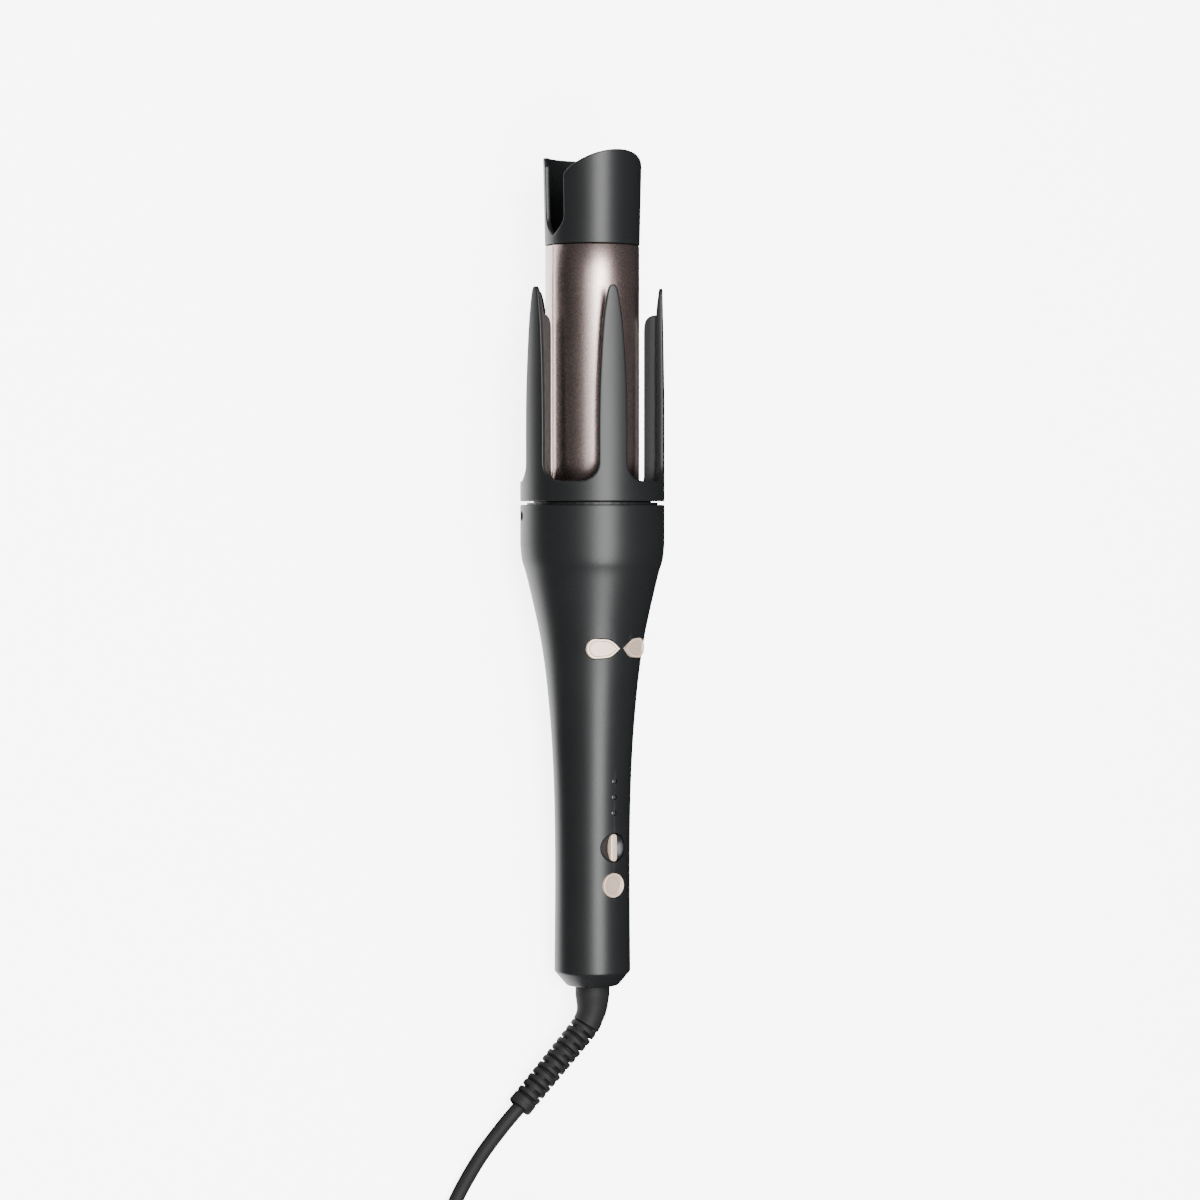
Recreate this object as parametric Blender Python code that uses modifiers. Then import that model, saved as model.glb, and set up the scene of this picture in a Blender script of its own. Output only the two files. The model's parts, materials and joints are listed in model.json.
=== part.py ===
"""Automatic curling iron: sleeve, fixed heated barrel, rotating five-prong crown, swivel cord.

Everything but the cord is modelled along the tool's own axis: local Z runs from the handle's flat
end (z = 0) to the tip, local +X is the side with the buttons. An empty then lays the tool down, tip
towards world +X, buttons up, resting on the sleeve's shoulder and the rim of the handle's end.
"""
import math

import bmesh
import bpy
from mathutils import Matrix, Vector

# ---- driving dimensions (metres) ----
GAP = 0.0003                # clearance between touching pieces
SEGMENTS = 48               # facets round a turned piece

SLEEVE_LENGTH = 0.1667      # handle end to the open end under the crown
SLEEVE_RADIUS = 0.0250      # the wide end
SLEEVE_WALL = 0.0020
SHOULDER_DROP = 0.0137      # from the open end down to where the flare reaches the full radius
END_CHAMFER = 0.0055        # height of the chamfer at the handle's end
END_FLAT_RADIUS = 0.0089    # the flat ring at the handle's end
HANDLE_RADIUS = 0.0130
HANDLE_END_RADIUS = 0.0132
HANDLE_SHAPE = (            # how far the flare has gone: (share of the sleeve's height, share of the widening)
    (0.27, 0.000),
    (0.45, 0.051),
    (0.60, 0.195),
    (0.72, 0.412),
    (0.844, 0.788),
    (0.885, 0.948),
)

CROWN_GAP = 0.00115         # visible gap between the sleeve and the crown
CROWN_BASE = 0.0070         # height of the crown's ring below its windows
CROWN_HEIGHT = 0.0735       # from the crown's underside to the prong tips
CROWN_WALL = 0.0023
CROWN_FLOOR = 0.0025
SKIRT_WALL = 0.0012         # the ring under the crown that closes the gap from inside
SKIRT_DEPTH = 0.0012
COLLAR_WALL = 0.0020
CROWN_LEAN = 0.0007         # how far the prong tips lean inwards
PRONGS = 5
PRONG_PHASE = -90.0         # angle of the first prong, in degrees from the buttons
PRONG_WIDTH = 0.0104        # at the windows' bottoms
PRONG_TAPER = ((0.38, 0.0104), (0.60, 0.0095), (0.82, 0.0073), (0.92, 0.0050), (0.99, 0.0026))
WINDOW_CORNER = 0.0062
RIB_THICKNESS = 0.0018
RIB_DEPTH = 0.0049          # how far a prong's inner rib stands in from the wall
RIB_TOP = 0.0645            # above the crown's underside

BARREL_RADIUS = 0.01625
BARREL_WALL = 0.0012
BARREL_REACH = 0.0891       # how far the barrel stands past the sleeve
SEAM_GAP = 0.00045          # between the two half shells of the barrel

CAP_RADIUS = 0.0164         # at the cap's lower edge
CAP_TOP_RADIUS = 0.0171
CAP_WALL = 0.0016
CAP_FLOOR = 0.0022
CAP_HEIGHT = 0.0320         # to the front lobe's peak
CAP_BACK_HEIGHT = 0.0306    # the back lobe is lower
CAP_SHOULDER = 0.0094       # drop of the front lobe at the notches
CAP_BACK_SHOULDER = 0.0045
CAP_REACH = 0.0160          # how far in from its edges each lobe goes on rounding off
CAP_BACK_REACH = 0.0045
NOTCH_WIDTH = 0.0106
NOTCH_BOTTOM = 0.0031       # above the cap's lower edge
NOTCH_OGIVE = 0.0062        # height over which the notch narrows to its point

SPINDLE_RADIUS = 0.0035
SPINDLE_BORE = 0.0026
SPINDLE_TAIL = 0.0137       # how far the spindle reaches down inside the sleeve
SPINDLE_DROP = 0.0108       # the spindle ends this far below the barrel's top
SPINDLE_FLANGE = 0.0046
BUSH_WALL = 0.0008
HUB_WALL = 0.0012

GEAR_MODULE = 0.0005
GEAR_TEETH = 28
PINION_TEETH = 14
GEAR_FACE = 0.0040
BACKLASH = 0.00016          # each tooth is thinner by this at the pitch line
BRACKET_THICKNESS = 0.0018
PLATE_THICKNESS = 0.0020    # the neck collar's plate
FLANGE_RADIUS = 0.0120
FLANGE_THICKNESS = 0.0022

MOTOR_WIDTH = 0.0120
MOTOR_DEPTH = 0.0100
MOTOR_LENGTH = 0.0150
GEARBOX_LENGTH = 0.0090
SHAFT_RADIUS = 0.0015

CHASSIS_WALL = 0.0013
CHASSIS_BOTTOM = 0.0170
SCREW_INSET = 0.0047        # from the sleeve's inside to the circle of frame screws
SCREW_ANGLES = (50.0, -50.0, 130.0, -130.0)
SCREW_RADIUS = 0.0012
SCREW_HEAD_RADIUS = 0.0021
BOSS_RADIUS = 0.0028
BOSS_LENGTH = 0.0090

POWER_Z = 0.0357
POWER_RADIUS = 0.0042
SELECTOR_Z = 0.0487
SELECTOR_RADIUS = 0.0048
SELECTOR_DISH_RADIUS = 0.0042
SELECTOR_DISH_DEPTH = 0.0015
BAR_LENGTH = 0.0094
BAR_WIDTH = 0.0025
PIPE_Z = (0.0606, 0.0661, 0.0716)
PIPE_RADIUS = 0.0008
BUTTON_TRAVEL = 0.0006
DIRECTION_DROP = 0.0492     # from the open end to the middle of the direction buttons
DIRECTION_ANGLE = 22.6      # to each side of the front, in degrees
DIRECTION_LENGTH = 0.0118   # round the sleeve
DIRECTION_DEPTH = 0.0024
DIRECTION_WIDTH = 0.00705
DIRECTION_DISH = 0.0005
RIM_WIDTH = 0.0008
MARK_DROP = 0.0039          # from the open end to the dimple that marks the crown's home position
MARK_ANGLE = -112.0
MARK_RADIUS = 0.0019
MARK_DEPTH = 0.0008

BOARD_THICKNESS = 0.0012
SWIVEL_RADIUS = 0.0082
RELIEF_RADIUS = 0.0060
RELIEF_TIP_RADIUS = 0.00445

CORD_RADIUS = 0.0025
CORD_ROUTE = (              # hand-chosen points, world metres, from the strain relief's tip to the coil
    (-0.1840, 0.0283, 0.0049),
    (-0.1891, 0.0334, 0.0037),
    (-0.1971, 0.0413, 0.0029),
    (-0.2043, 0.0475, 0.0027),
    (-0.2115, 0.0529, 0.0027),
    (-0.2185, 0.0571, 0.0027),
    (-0.2250, 0.0598, 0.0027),
    (-0.2310, 0.0610, 0.0027),
    (-0.2372, 0.0613, 0.0027),
)
COIL_CENTRE = (-0.2560, 0.0288)
COIL_RADIUS = 0.0275        # at the middle of the turns
COIL_THICKNESS = 0.0152     # three cords wide and three high
TAIL_ROUTE = (              # from the coil's top turn down to the plug's own relief
    (-0.2748, 0.0613, 0.0116),
    (-0.2810, 0.0611, 0.0101),
    (-0.2872, 0.0604, 0.0084),
    (-0.2935, 0.0585, 0.0070),
    (-0.2990, 0.0550, 0.0060),
    (-0.3030, 0.0500, 0.0057),
    (-0.3052, 0.0440, 0.0060),
    (-0.3060, 0.0380, 0.0067),
    (-0.3060, 0.0330, 0.0071),
)
PLUG_LENGTH = 0.0353
PLUG_WIDTH = 0.0260
PLUG_HEIGHT = 0.0137
PLUG_RELIEF = 0.0160
PIN_RADIUS = 0.0020
PIN_LENGTH = 0.0190
PIN_SPACING = 0.0186

# ---- derived places ----
INNER_RADIUS = SLEEVE_RADIUS - SLEEVE_WALL
CROWN_Z = SLEEVE_LENGTH + CROWN_GAP
SHOULDER_Z = SLEEVE_LENGTH - SHOULDER_DROP
MARK_Z = SLEEVE_LENGTH - MARK_DROP
DIRECTION_Z = SLEEVE_LENGTH - DIRECTION_DROP
SCREW_CIRCLE = INNER_RADIUS - SCREW_INSET
BARREL_TOP = SLEEVE_LENGTH + BARREL_REACH
SPINDLE_TOP = BARREL_TOP - SPINDLE_DROP
SPINDLE_BOTTOM = SLEEVE_LENGTH - SPINDLE_TAIL
FACET = math.cos(math.pi / SEGMENTS)
TILT = math.atan2((SLEEVE_RADIUS - HANDLE_END_RADIUS) * FACET, SHOULDER_Z - END_CHAMFER)
BUSH_RADIUS = SPINDLE_RADIUS + GAP + BUSH_WALL
HUB_BORE = BUSH_RADIUS + GAP
HUB_RADIUS = HUB_BORE + HUB_WALL
PLATE_TOP = SLEEVE_LENGTH - 0.0023
PLATE_BOTTOM = PLATE_TOP - PLATE_THICKNESS
GEAR_TOP = PLATE_BOTTOM - 0.0008
GEAR_BOTTOM = GEAR_TOP - GEAR_FACE
BRACKET_TOP = GEAR_BOTTOM - 0.0007
BRACKET_BOTTOM = BRACKET_TOP - BRACKET_THICKNESS
CHASSIS_TOP = BRACKET_BOTTOM - GAP
GEARBOX_TOP = BRACKET_BOTTOM - GAP
MOTOR_TOP = GEARBOX_TOP - GEARBOX_LENGTH - GAP
GEAR_DISTANCE = GEAR_MODULE * (GEAR_TEETH + PINION_TEETH) / 2 + 0.00004
CAP_Z = BARREL_TOP + 0.0003
BASE_Z = CROWN_Z + CROWN_FLOOR + 0.0005
BASE_THICKNESS = 0.0030
BARREL_BOTTOM = BASE_Z + BASE_THICKNESS + GAP
BARREL_BORE = BARREL_RADIUS - BARREL_WALL


# ---- tools ----
def clear_scene():
    for o in list(bpy.data.objects):
        bpy.data.objects.remove(o, do_unlink=True)


def collection(name):
    made = bpy.data.collections.new(name)
    bpy.context.scene.collection.children.link(made)
    return made


clear_scene()
PARTS = collection("curling_iron")
CUTTERS = collection("cutters")


def material(name, colour, roughness, metallic=0.0):
    made = bpy.data.materials.new(name)
    made.use_nodes = True
    shader = made.node_tree.nodes["Principled BSDF"]
    shader.inputs["Base Color"].default_value = (*colour, 1.0)
    shader.inputs["Roughness"].default_value = roughness
    shader.inputs["Metallic"].default_value = metallic
    return made


def empty(name, parent=None, matrix=None):
    made = bpy.data.objects.new(name, None)
    PARTS.objects.link(made)
    made.parent = parent
    if matrix is not None:
        made.matrix_local = matrix
    return made


def add(name, mesh, look, parent, matrix=None, cutter=False):
    """A mesh as a part or as a cutter, under its parent."""
    made = bpy.data.objects.new(name, mesh)
    (CUTTERS if cutter else PARTS).objects.link(made)
    made.parent = parent
    if matrix is not None:
        made.matrix_local = matrix
    if cutter:
        made.hide_render = True
        made.display_type = "WIRE"
    else:
        mesh.materials.append(look)
    return made


def mesh_of(name, build):
    """A mesh filled by a function that gets an empty bmesh."""
    bm = bmesh.new()
    build(bm)
    bmesh.ops.recalc_face_normals(bm, faces=bm.faces)
    mesh = bpy.data.meshes.new(name)
    bm.to_mesh(mesh)
    bm.free()
    return mesh


def box_mesh(name, size):
    def build(bm):
        bmesh.ops.create_cube(bm, size=1.0)
        bmesh.ops.scale(bm, vec=Vector(size), verts=bm.verts)

    return mesh_of(name, build)


def rod_mesh(name, radius, length, segments=16, top=None):
    """A cylinder or cone that stands on its origin along Z."""
    def build(bm):
        bmesh.ops.create_cone(
            bm, cap_ends=True, segments=segments, radius1=radius,
            radius2=radius if top is None else top, depth=length,
        )
        bmesh.ops.translate(bm, vec=Vector((0, 0, length / 2)), verts=bm.verts)

    return mesh_of(name, build)


def at(x, y, z):
    return Matrix.Translation((x, y, z))


def turn(degrees, axis="Z"):
    return Matrix.Rotation(math.radians(degrees), 4, axis)


def screw_modifier(made, steps, degrees=360.0):
    spin = made.modifiers.new("Screw", "SCREW")
    spin.axis = "Z"
    spin.angle = math.radians(degrees)
    spin.steps = steps
    spin.render_steps = steps
    spin.use_merge_vertices = True
    spin.merge_threshold = 0.00001
    spin.use_smooth_shade = False
    return spin


def profile_mesh(name, points, closed, start=0.0):
    """Profile edges (radius, z), turned about Z by the start angle."""
    a = math.radians(start)
    mesh = bpy.data.meshes.new(name)
    bm = bmesh.new()
    ring = [bm.verts.new((r * math.cos(a), r * math.sin(a), z)) for r, z in points]
    pairs = list(zip(ring, ring[1:] + ring[:1] if closed else ring[1:]))
    for one, other in pairs:
        bm.edges.new((one, other))
    bm.to_mesh(mesh)
    bm.free()
    return mesh


def turned(name, points, look, parent, matrix=None, closed=True, steps=SEGMENTS, cutter=False):
    """A turned piece: its profile runs down the outer side first."""
    mesh = profile_mesh(name, points, closed, 180.0 / steps)
    made = add(name, mesh, look, parent, matrix, cutter)
    screw_modifier(made, steps)
    return made


def cut(target, cutter, operation="DIFFERENCE"):
    tool = target.modifiers.new(operation.title(), "BOOLEAN")
    tool.operation = operation
    tool.object = cutter
    tool.solver = "EXACT"
    return tool


def outline_mesh(name, points, thickness):
    """A flat outline in XY, given its thickness about z = 0, as a welded mesh."""
    curve = bpy.data.curves.new(name, "CURVE")
    curve.dimensions = "2D"
    curve.fill_mode = "BOTH"
    curve.extrude = thickness / 2
    line = curve.splines.new("POLY")
    line.points.add(len(points) - 1)
    for spot, (x, y) in zip(line.points, points):
        spot.co = (x, y, 0.0, 1.0)
    line.use_cyclic_u = True
    flat = bpy.data.objects.new(name, curve)
    CUTTERS.objects.link(flat)
    bpy.context.view_layer.update()
    mesh = bpy.data.meshes.new_from_object(flat.evaluated_get(bpy.context.evaluated_depsgraph_get()))
    bpy.data.objects.remove(flat, do_unlink=True)
    bm = bmesh.new()
    bm.from_mesh(mesh)
    bmesh.ops.remove_doubles(bm, verts=bm.verts, dist=0.000005)
    bmesh.ops.recalc_face_normals(bm, faces=bm.faces)
    bm.to_mesh(mesh)
    bm.free()
    mesh.name = name
    return mesh


def arc(cx, cy, radius, start, end, steps):
    """Points along an arc, in degrees."""
    spots = []
    for i in range(steps + 1):
        a = math.radians(start + (end - start) * i / steps)
        spots.append((cx + radius * math.cos(a), cy + radius * math.sin(a)))
    return spots


def smooth(points, per_span):
    """Points along a smooth curve through the given points."""
    spots = [Vector(p) for p in points]
    ends = [spots[0] * 2 - spots[1], *spots, spots[-1] * 2 - spots[-2]]
    out = []
    for i in range(1, len(ends) - 2):
        a, b, c, d = ends[i - 1:i + 3]
        for k in range(per_span):
            t = k / per_span
            out.append(
                0.5 * (2 * b + (c - a) * t + (2 * a - 5 * b + 4 * c - d) * t ** 2
                       + (3 * b - a - 3 * c + d) * t ** 3)
            )
    return [*out, spots[-1]]


# ---- frames of reference ----
LIFT = HANDLE_END_RADIUS * FACET * math.cos(TILT) - END_CHAMFER * math.sin(TILT)
TIP_X = (CAP_Z + CAP_BACK_HEIGHT) * math.cos(TILT) + CAP_TOP_RADIUS * math.sin(TILT)
BACK = (TIP_X - END_FLAT_RADIUS * math.sin(TILT)) / 2
AXIS = Vector((math.cos(TILT), 0.0, math.sin(TILT)))
FRONT = Vector((-math.sin(TILT), 0.0, math.cos(TILT)))


def tool_matrix():
    """Lays the tool down: local Z becomes the tilted long axis, local X points up."""
    rows = Matrix((FRONT, Vector((0, -1, 0)), AXIS)).transposed().to_4x4()
    return at(-BACK, 0.0, LIFT) @ rows


TOOL = empty("tool", matrix=tool_matrix())
CROWN_AXIS = empty("crown_axis", TOOL)
PINION_AXIS = empty("pinion_axis", TOOL, at(-GEAR_DISTANCE, 0, 0))
SWIVEL_AXIS = empty("swivel_axis", TOOL)


def facing(angle, z, radius=0.0):
    """A frame on the tool's side: its Z points outwards at the angle, its Y along the tool."""
    base = Matrix(((0, 0, 1, 0), (1, 0, 0, 0), (0, 1, 0, 0), (0, 0, 0, 1)))
    return at(0, 0, z) @ turn(angle) @ base @ at(0, 0, radius)


# ---- sleeve ----
def sleeve_points(per_span=2):
    """(radius, z) of the sleeve's outside from the handle's end up to the open end."""
    reach = SLEEVE_RADIUS - HANDLE_RADIUS
    keys = [(HANDLE_END_RADIUS, END_CHAMFER, 0.0)]
    keys += [(HANDLE_RADIUS + reach * wide, SLEEVE_LENGTH * high, 0.0) for high, wide in HANDLE_SHAPE]
    keys += [(SLEEVE_RADIUS, SHOULDER_Z, 0.0)]
    return [(p.x, p.y) for p in smooth(keys, per_span)]


def radius_at(z):
    """The sleeve's outer radius at a height."""
    spots = sleeve_points()
    for (r0, z0), (r1, z1) in zip(spots, spots[1:]):
        if z0 <= z <= z1:
            return r0 + (r1 - r0) * (z - z0) / (z1 - z0)
    return SLEEVE_RADIUS if z > SHOULDER_Z else HANDLE_END_RADIUS


def housing_sleeve():
    outer = [(SLEEVE_RADIUS, SLEEVE_LENGTH), *reversed(sleeve_points())]
    outer += [(END_FLAT_RADIUS, 0.0), (RELIEF_RADIUS + GAP, 0.0)]
    inner = [(RELIEF_RADIUS + GAP, SLEEVE_WALL), (END_FLAT_RADIUS, SLEEVE_WALL)]
    inner += [(r - SLEEVE_WALL, z) for r, z in sleeve_points()]
    inner += [(INNER_RADIUS, SLEEVE_LENGTH)]
    inner[2] = (HANDLE_END_RADIUS - SLEEVE_WALL, END_CHAMFER)
    made = turned("housing_sleeve", outer + inner, SOFT_BLACK, TOOL)
    for name, angle, z, shape in button_holes():
        hole = add("cut_" + name, shape, None, TOOL, facing(angle, z, radius_at(z) - SLEEVE_WALL * 0.5), True)
        cut(made, hole)
    mark = add(
        "cut_mark", rod_mesh("cut_mark", MARK_RADIUS, 0.004, 20), None, TOOL,
        facing(MARK_ANGLE, MARK_Z, SLEEVE_RADIUS - MARK_DEPTH), True,
    )
    cut(made, mark)


def centred_rod(name, radius, length, segments=24):
    mesh = rod_mesh(name, radius, length, segments)
    mesh.transform(at(0, 0, -length / 2))
    return mesh


def teardrop(grow=0.0):
    """The direction button's outline: round at one end, pointed at the other, which is at -X."""
    half, side = DIRECTION_LENGTH / 2, DIRECTION_WIDTH / 2
    round_end = arc(half - side, 0, side + grow, -75, 75, 8)
    flank = [(-half * 0.28, side * 0.88 + grow), (-half * 0.66, side * 0.50 + grow)]
    point = [(-half - grow, 0.0)]
    return [*round_end, *flank, *point, *[(x, -y) for x, y in reversed(flank)]]


def button_holes():
    depth = 0.009
    yield "power", 0.0, POWER_Z, centred_rod("cut_power", POWER_RADIUS + GAP, depth)
    yield "selector", 0.0, SELECTOR_Z, centred_rod("cut_selector", SELECTOR_RADIUS + GAP, depth)
    for i, z in enumerate(PIPE_Z):
        yield f"pipe_{i + 1}", 0.0, z, centred_rod(f"cut_pipe_{i + 1}", PIPE_RADIUS + GAP * 0.5, depth, 12)
    for name, side in (("left", -1), ("right", 1)):
        mesh = outline_mesh("cut_" + name, [(x * side, y) for x, y in teardrop(GAP)], depth)
        yield name, side * DIRECTION_ANGLE, DIRECTION_Z, mesh


def neck_collar():
    rim = SLEEVE_LENGTH + CROWN_GAP - GAP * 1.2
    wall = INNER_RADIUS - GAP - COLLAR_WALL
    profile = [
        (INNER_RADIUS - GAP, rim), (INNER_RADIUS - GAP, PLATE_BOTTOM), (HUB_RADIUS + GAP, PLATE_BOTTOM),
        (HUB_RADIUS + GAP, PLATE_TOP), (wall, PLATE_TOP), (wall, rim),
    ]
    made = turned("neck_collar", profile, SATIN_BLACK, TOOL)
    for i, angle in enumerate(SCREW_ANGLES):
        place = turn(angle) @ at(SCREW_CIRCLE, 0, 0)
        length = PLATE_BOTTOM - BRACKET_TOP - GAP + 0.0005
        post = add(f"post_{i + 1}", rod_mesh("post", BOSS_RADIUS, length), None, TOOL,
                   place @ at(0, 0, BRACKET_TOP + GAP), True)
        cut(made, post, "UNION")
        hole = add(f"post_hole_{i + 1}", rod_mesh("hole", SCREW_RADIUS + GAP, 0.02), None, TOOL,
                   place @ at(0, 0, BRACKET_TOP - 0.004), True)
        cut(made, hole)


# ---- chassis ----
def chassis_half(name, side):
    """Half of the inner frame: a thin half shell that follows the sleeve."""
    spots = [(r - SLEEVE_WALL - 0.0004, z) for r, z in sleeve_points(1) if CHASSIS_BOTTOM < z < CHASSIS_TOP]
    start = radius_at(CHASSIS_BOTTOM) - SLEEVE_WALL - 0.0004
    end = radius_at(CHASSIS_TOP) - SLEEVE_WALL - 0.0004
    outer = [(end, CHASSIS_TOP), *reversed(spots), (start, CHASSIS_BOTTOM)]
    steps = SEGMENTS // 2
    seam = math.degrees(GAP / start)
    mesh = profile_mesh(name, outer, False, seam if side > 0 else 180 + seam)
    mesh.transform(turn(-90))
    made = add(name, mesh, FRAME_GREY, TOOL)
    screw_modifier(made, steps, 180 - 2 * seam)
    shell = made.modifiers.new("Solidify", "SOLIDIFY")
    shell.thickness = CHASSIS_WALL
    shell.offset = -1.0
    shell.use_even_offset = True
    for i, angle in enumerate(SCREW_ANGLES):
        if (abs(angle) < 90) == (side > 0):
            place = turn(angle) @ at(SCREW_CIRCLE, 0, CHASSIS_TOP - BOSS_LENGTH)
            boss = add(f"{name}_boss_{i + 1}", rod_mesh("boss", BOSS_RADIUS, BOSS_LENGTH), None, TOOL, place, True)
            cut(made, boss, "UNION")
            hole = add(f"{name}_hole_{i + 1}", rod_mesh("hole", SCREW_RADIUS + GAP * 0.5, 0.02), None, TOOL,
                       place @ at(0, 0, 0.0022), True)
            cut(made, hole)
    return made


def chassis():
    front = chassis_half("chassis_front", 1)
    back = chassis_half("chassis_back", -1)
    low = MOTOR_TOP - MOTOR_LENGTH - GAP
    pocket = add("cut_motor_pocket", box_mesh("pocket", (MOTOR_DEPTH + 2 * GAP, MOTOR_WIDTH + 2 * GAP, CHASSIS_TOP - low + GAP)),
                 None, TOOL, at(-GEAR_DISTANCE, 0, (CHASSIS_TOP + GAP + low) / 2), True)
    cut(back, pocket)
    low, high = POWER_Z - 0.0062, PIPE_Z[-1] + 0.0024
    slot = add("cut_front_slot", box_mesh("slot", (0.012, 0.0122, high - low)), None, TOOL,
               at(HANDLE_RADIUS - 0.004, 0, (low + high) / 2), True)
    cut(front, slot)
    for name, side in (("left", -1), ("right", 1)):
        port = add("cut_port_" + name, box_mesh("port", (DIRECTION_LENGTH + 0.0006, DIRECTION_WIDTH + 0.0012, 0.012)),
                   None, TOOL, facing(side * DIRECTION_ANGLE, DIRECTION_Z, 0.0145), True)
        cut(front, port)


def frame_screws():
    for i, angle in enumerate(SCREW_ANGLES):
        shaft_end = CHASSIS_TOP - BOSS_LENGTH + 0.0032
        head = PLATE_TOP + GAP
        profile = [
            (0, head + 0.0012), (SCREW_HEAD_RADIUS, head + 0.0012), (SCREW_HEAD_RADIUS, head),
            (SCREW_RADIUS, head), (SCREW_RADIUS, shaft_end), (0, shaft_end),
        ]
        turned(f"frame_screw_{i + 1}", profile, STEEL, TOOL, turn(angle) @ at(SCREW_CIRCLE, 0, 0), False, 12)


# ---- drive ----
def motor_bracket():
    edge = INNER_RADIUS - GAP
    hole = SPINDLE_RADIUS + GAP
    profile = [(edge, BRACKET_TOP), (edge, BRACKET_BOTTOM), (hole, BRACKET_BOTTOM), (hole, BRACKET_TOP)]
    made = turned("motor_bracket", profile, STEEL, TOOL)
    places = [(at(-GEAR_DISTANCE, 0, 0), SHAFT_RADIUS + GAP)]
    places += [(turn(a) @ at(SCREW_CIRCLE, 0, 0), SCREW_RADIUS + GAP) for a in SCREW_ANGLES]
    for i, (place, radius) in enumerate(places):
        hole = add(f"bracket_hole_{i + 1}", rod_mesh("hole", radius, 0.008), None, TOOL,
                   place @ at(0, 0, BRACKET_BOTTOM - 0.003), True)
        cut(made, hole)


def motor():
    gearbox = box_mesh("gearbox", (MOTOR_DEPTH, MOTOR_WIDTH, GEARBOX_LENGTH))
    add("gearbox", gearbox, BRASS, TOOL, at(-GEAR_DISTANCE, 0, GEARBOX_TOP - GEARBOX_LENGTH / 2))
    corner = 0.0030
    deep, wide = MOTOR_DEPTH / 2, MOTOR_WIDTH / 2
    outline = []
    for cx, cy, start in ((1, 1, 0), (-1, 1, 90), (-1, -1, 180), (1, -1, 270)):
        outline += arc(cx * (deep - corner), cy * (wide - corner), corner, start, start + 90, 4)
    can = outline_mesh("motor_can", outline, MOTOR_LENGTH)
    add("motor_can", can, STEEL, TOOL, at(-GEAR_DISTANCE, 0, MOTOR_TOP - MOTOR_LENGTH / 2))


def gear_outline(teeth, phase):
    """A spur gear with involute flanks and stub teeth, thinned for backlash."""
    pitch = GEAR_MODULE * teeth / 2
    base = pitch * math.cos(math.radians(20))
    tip, root = pitch + 0.8 * GEAR_MODULE, pitch - 1.05 * GEAR_MODULE
    spread = math.pi / (2 * teeth) - BACKLASH / (2 * pitch)

    def flank(r):
        roll = math.sqrt(max((r / base) ** 2 - 1, 0.0))
        at_pitch = math.sqrt((pitch / base) ** 2 - 1)
        return spread + (at_pitch - math.atan(at_pitch)) - (roll - math.atan(roll))

    radii = [max(root, base) + (tip - max(root, base)) * k / 2 for k in range(3)]
    points = []
    for i in range(teeth):
        middle = phase + 2 * math.pi * i / teeth
        side = [(root, -flank(radii[0]))] + [(r, -flank(r)) for r in radii]
        side += [(r, -a) for r, a in reversed(side)]
        points += [(r * math.cos(middle + a), r * math.sin(middle + a)) for r, a in side]
    return points


def drive_gears():
    outline = gear_outline(GEAR_TEETH, 0.0)
    ring = outline_mesh("crown_gear", outline, GEAR_FACE)
    gear = add("crown_gear", ring, NYLON, CROWN_AXIS, at(0, 0, GEAR_BOTTOM + GEAR_FACE / 2))
    base = -(GEAR_BOTTOM + GEAR_FACE / 2)
    flange = PLATE_TOP + 0.0004
    hub_top = CROWN_Z + CROWN_FLOOR - 0.0002
    profile = [
        (HUB_RADIUS, hub_top + base), (HUB_RADIUS, flange + FLANGE_THICKNESS + base),
        (FLANGE_RADIUS, flange + FLANGE_THICKNESS + base), (FLANGE_RADIUS, flange + base),
        (HUB_RADIUS - GAP, flange + base), (HUB_RADIUS - GAP, GEAR_BOTTOM + 0.0005 + base),
        (HUB_BORE - 0.0004, GEAR_BOTTOM + 0.0005 + base), (HUB_BORE - 0.0004, hub_top + base),
    ]
    hub = turned("hub_body", profile, None, CROWN_AXIS, at(0, 0, -base), True, 32, True)
    cut(gear, hub, "UNION")
    bore = add("gear_bore", rod_mesh("bore", HUB_BORE, 0.03, 32), None, CROWN_AXIS,
               at(0, 0, GEAR_BOTTOM - 0.005), True)
    cut(gear, bore)
    half = math.pi / PINION_TEETH
    pinion = outline_mesh("drive_pinion", gear_outline(PINION_TEETH, half), GEAR_FACE)
    made = add("drive_pinion", pinion, BRASS, PINION_AXIS, at(0, 0, GEAR_BOTTOM + GEAR_FACE / 2))
    length = GEAR_BOTTOM - BRACKET_BOTTOM + GEAR_FACE / 2
    shaft = add("pinion_shaft", rod_mesh("shaft", SHAFT_RADIUS, length, 14), None, PINION_AXIS,
                at(0, 0, BRACKET_BOTTOM), True)
    cut(made, shaft, "UNION")


def bush_and_spindle():
    top = CROWN_Z + CROWN_FLOOR
    bush = [
        (BUSH_RADIUS, top - 0.0002), (BUSH_RADIUS, GEAR_BOTTOM - 0.0001),
        (SPINDLE_RADIUS + GAP, GEAR_BOTTOM - 0.0001), (SPINDLE_RADIUS + GAP, top - 0.0002),
    ]
    turned("crown_bush", bush, BRONZE, CROWN_AXIS, None, True, 32)
    flange_top = BRACKET_BOTTOM - GAP
    profile = [
        (SPINDLE_RADIUS, SPINDLE_TOP), (SPINDLE_RADIUS, flange_top), (SPINDLE_FLANGE, flange_top),
        (SPINDLE_FLANGE, SPINDLE_BOTTOM), (SPINDLE_BORE, SPINDLE_BOTTOM), (SPINDLE_BORE, SPINDLE_TOP),
    ]
    turned("spindle", profile, STEEL, TOOL, None, True, 32)


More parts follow.
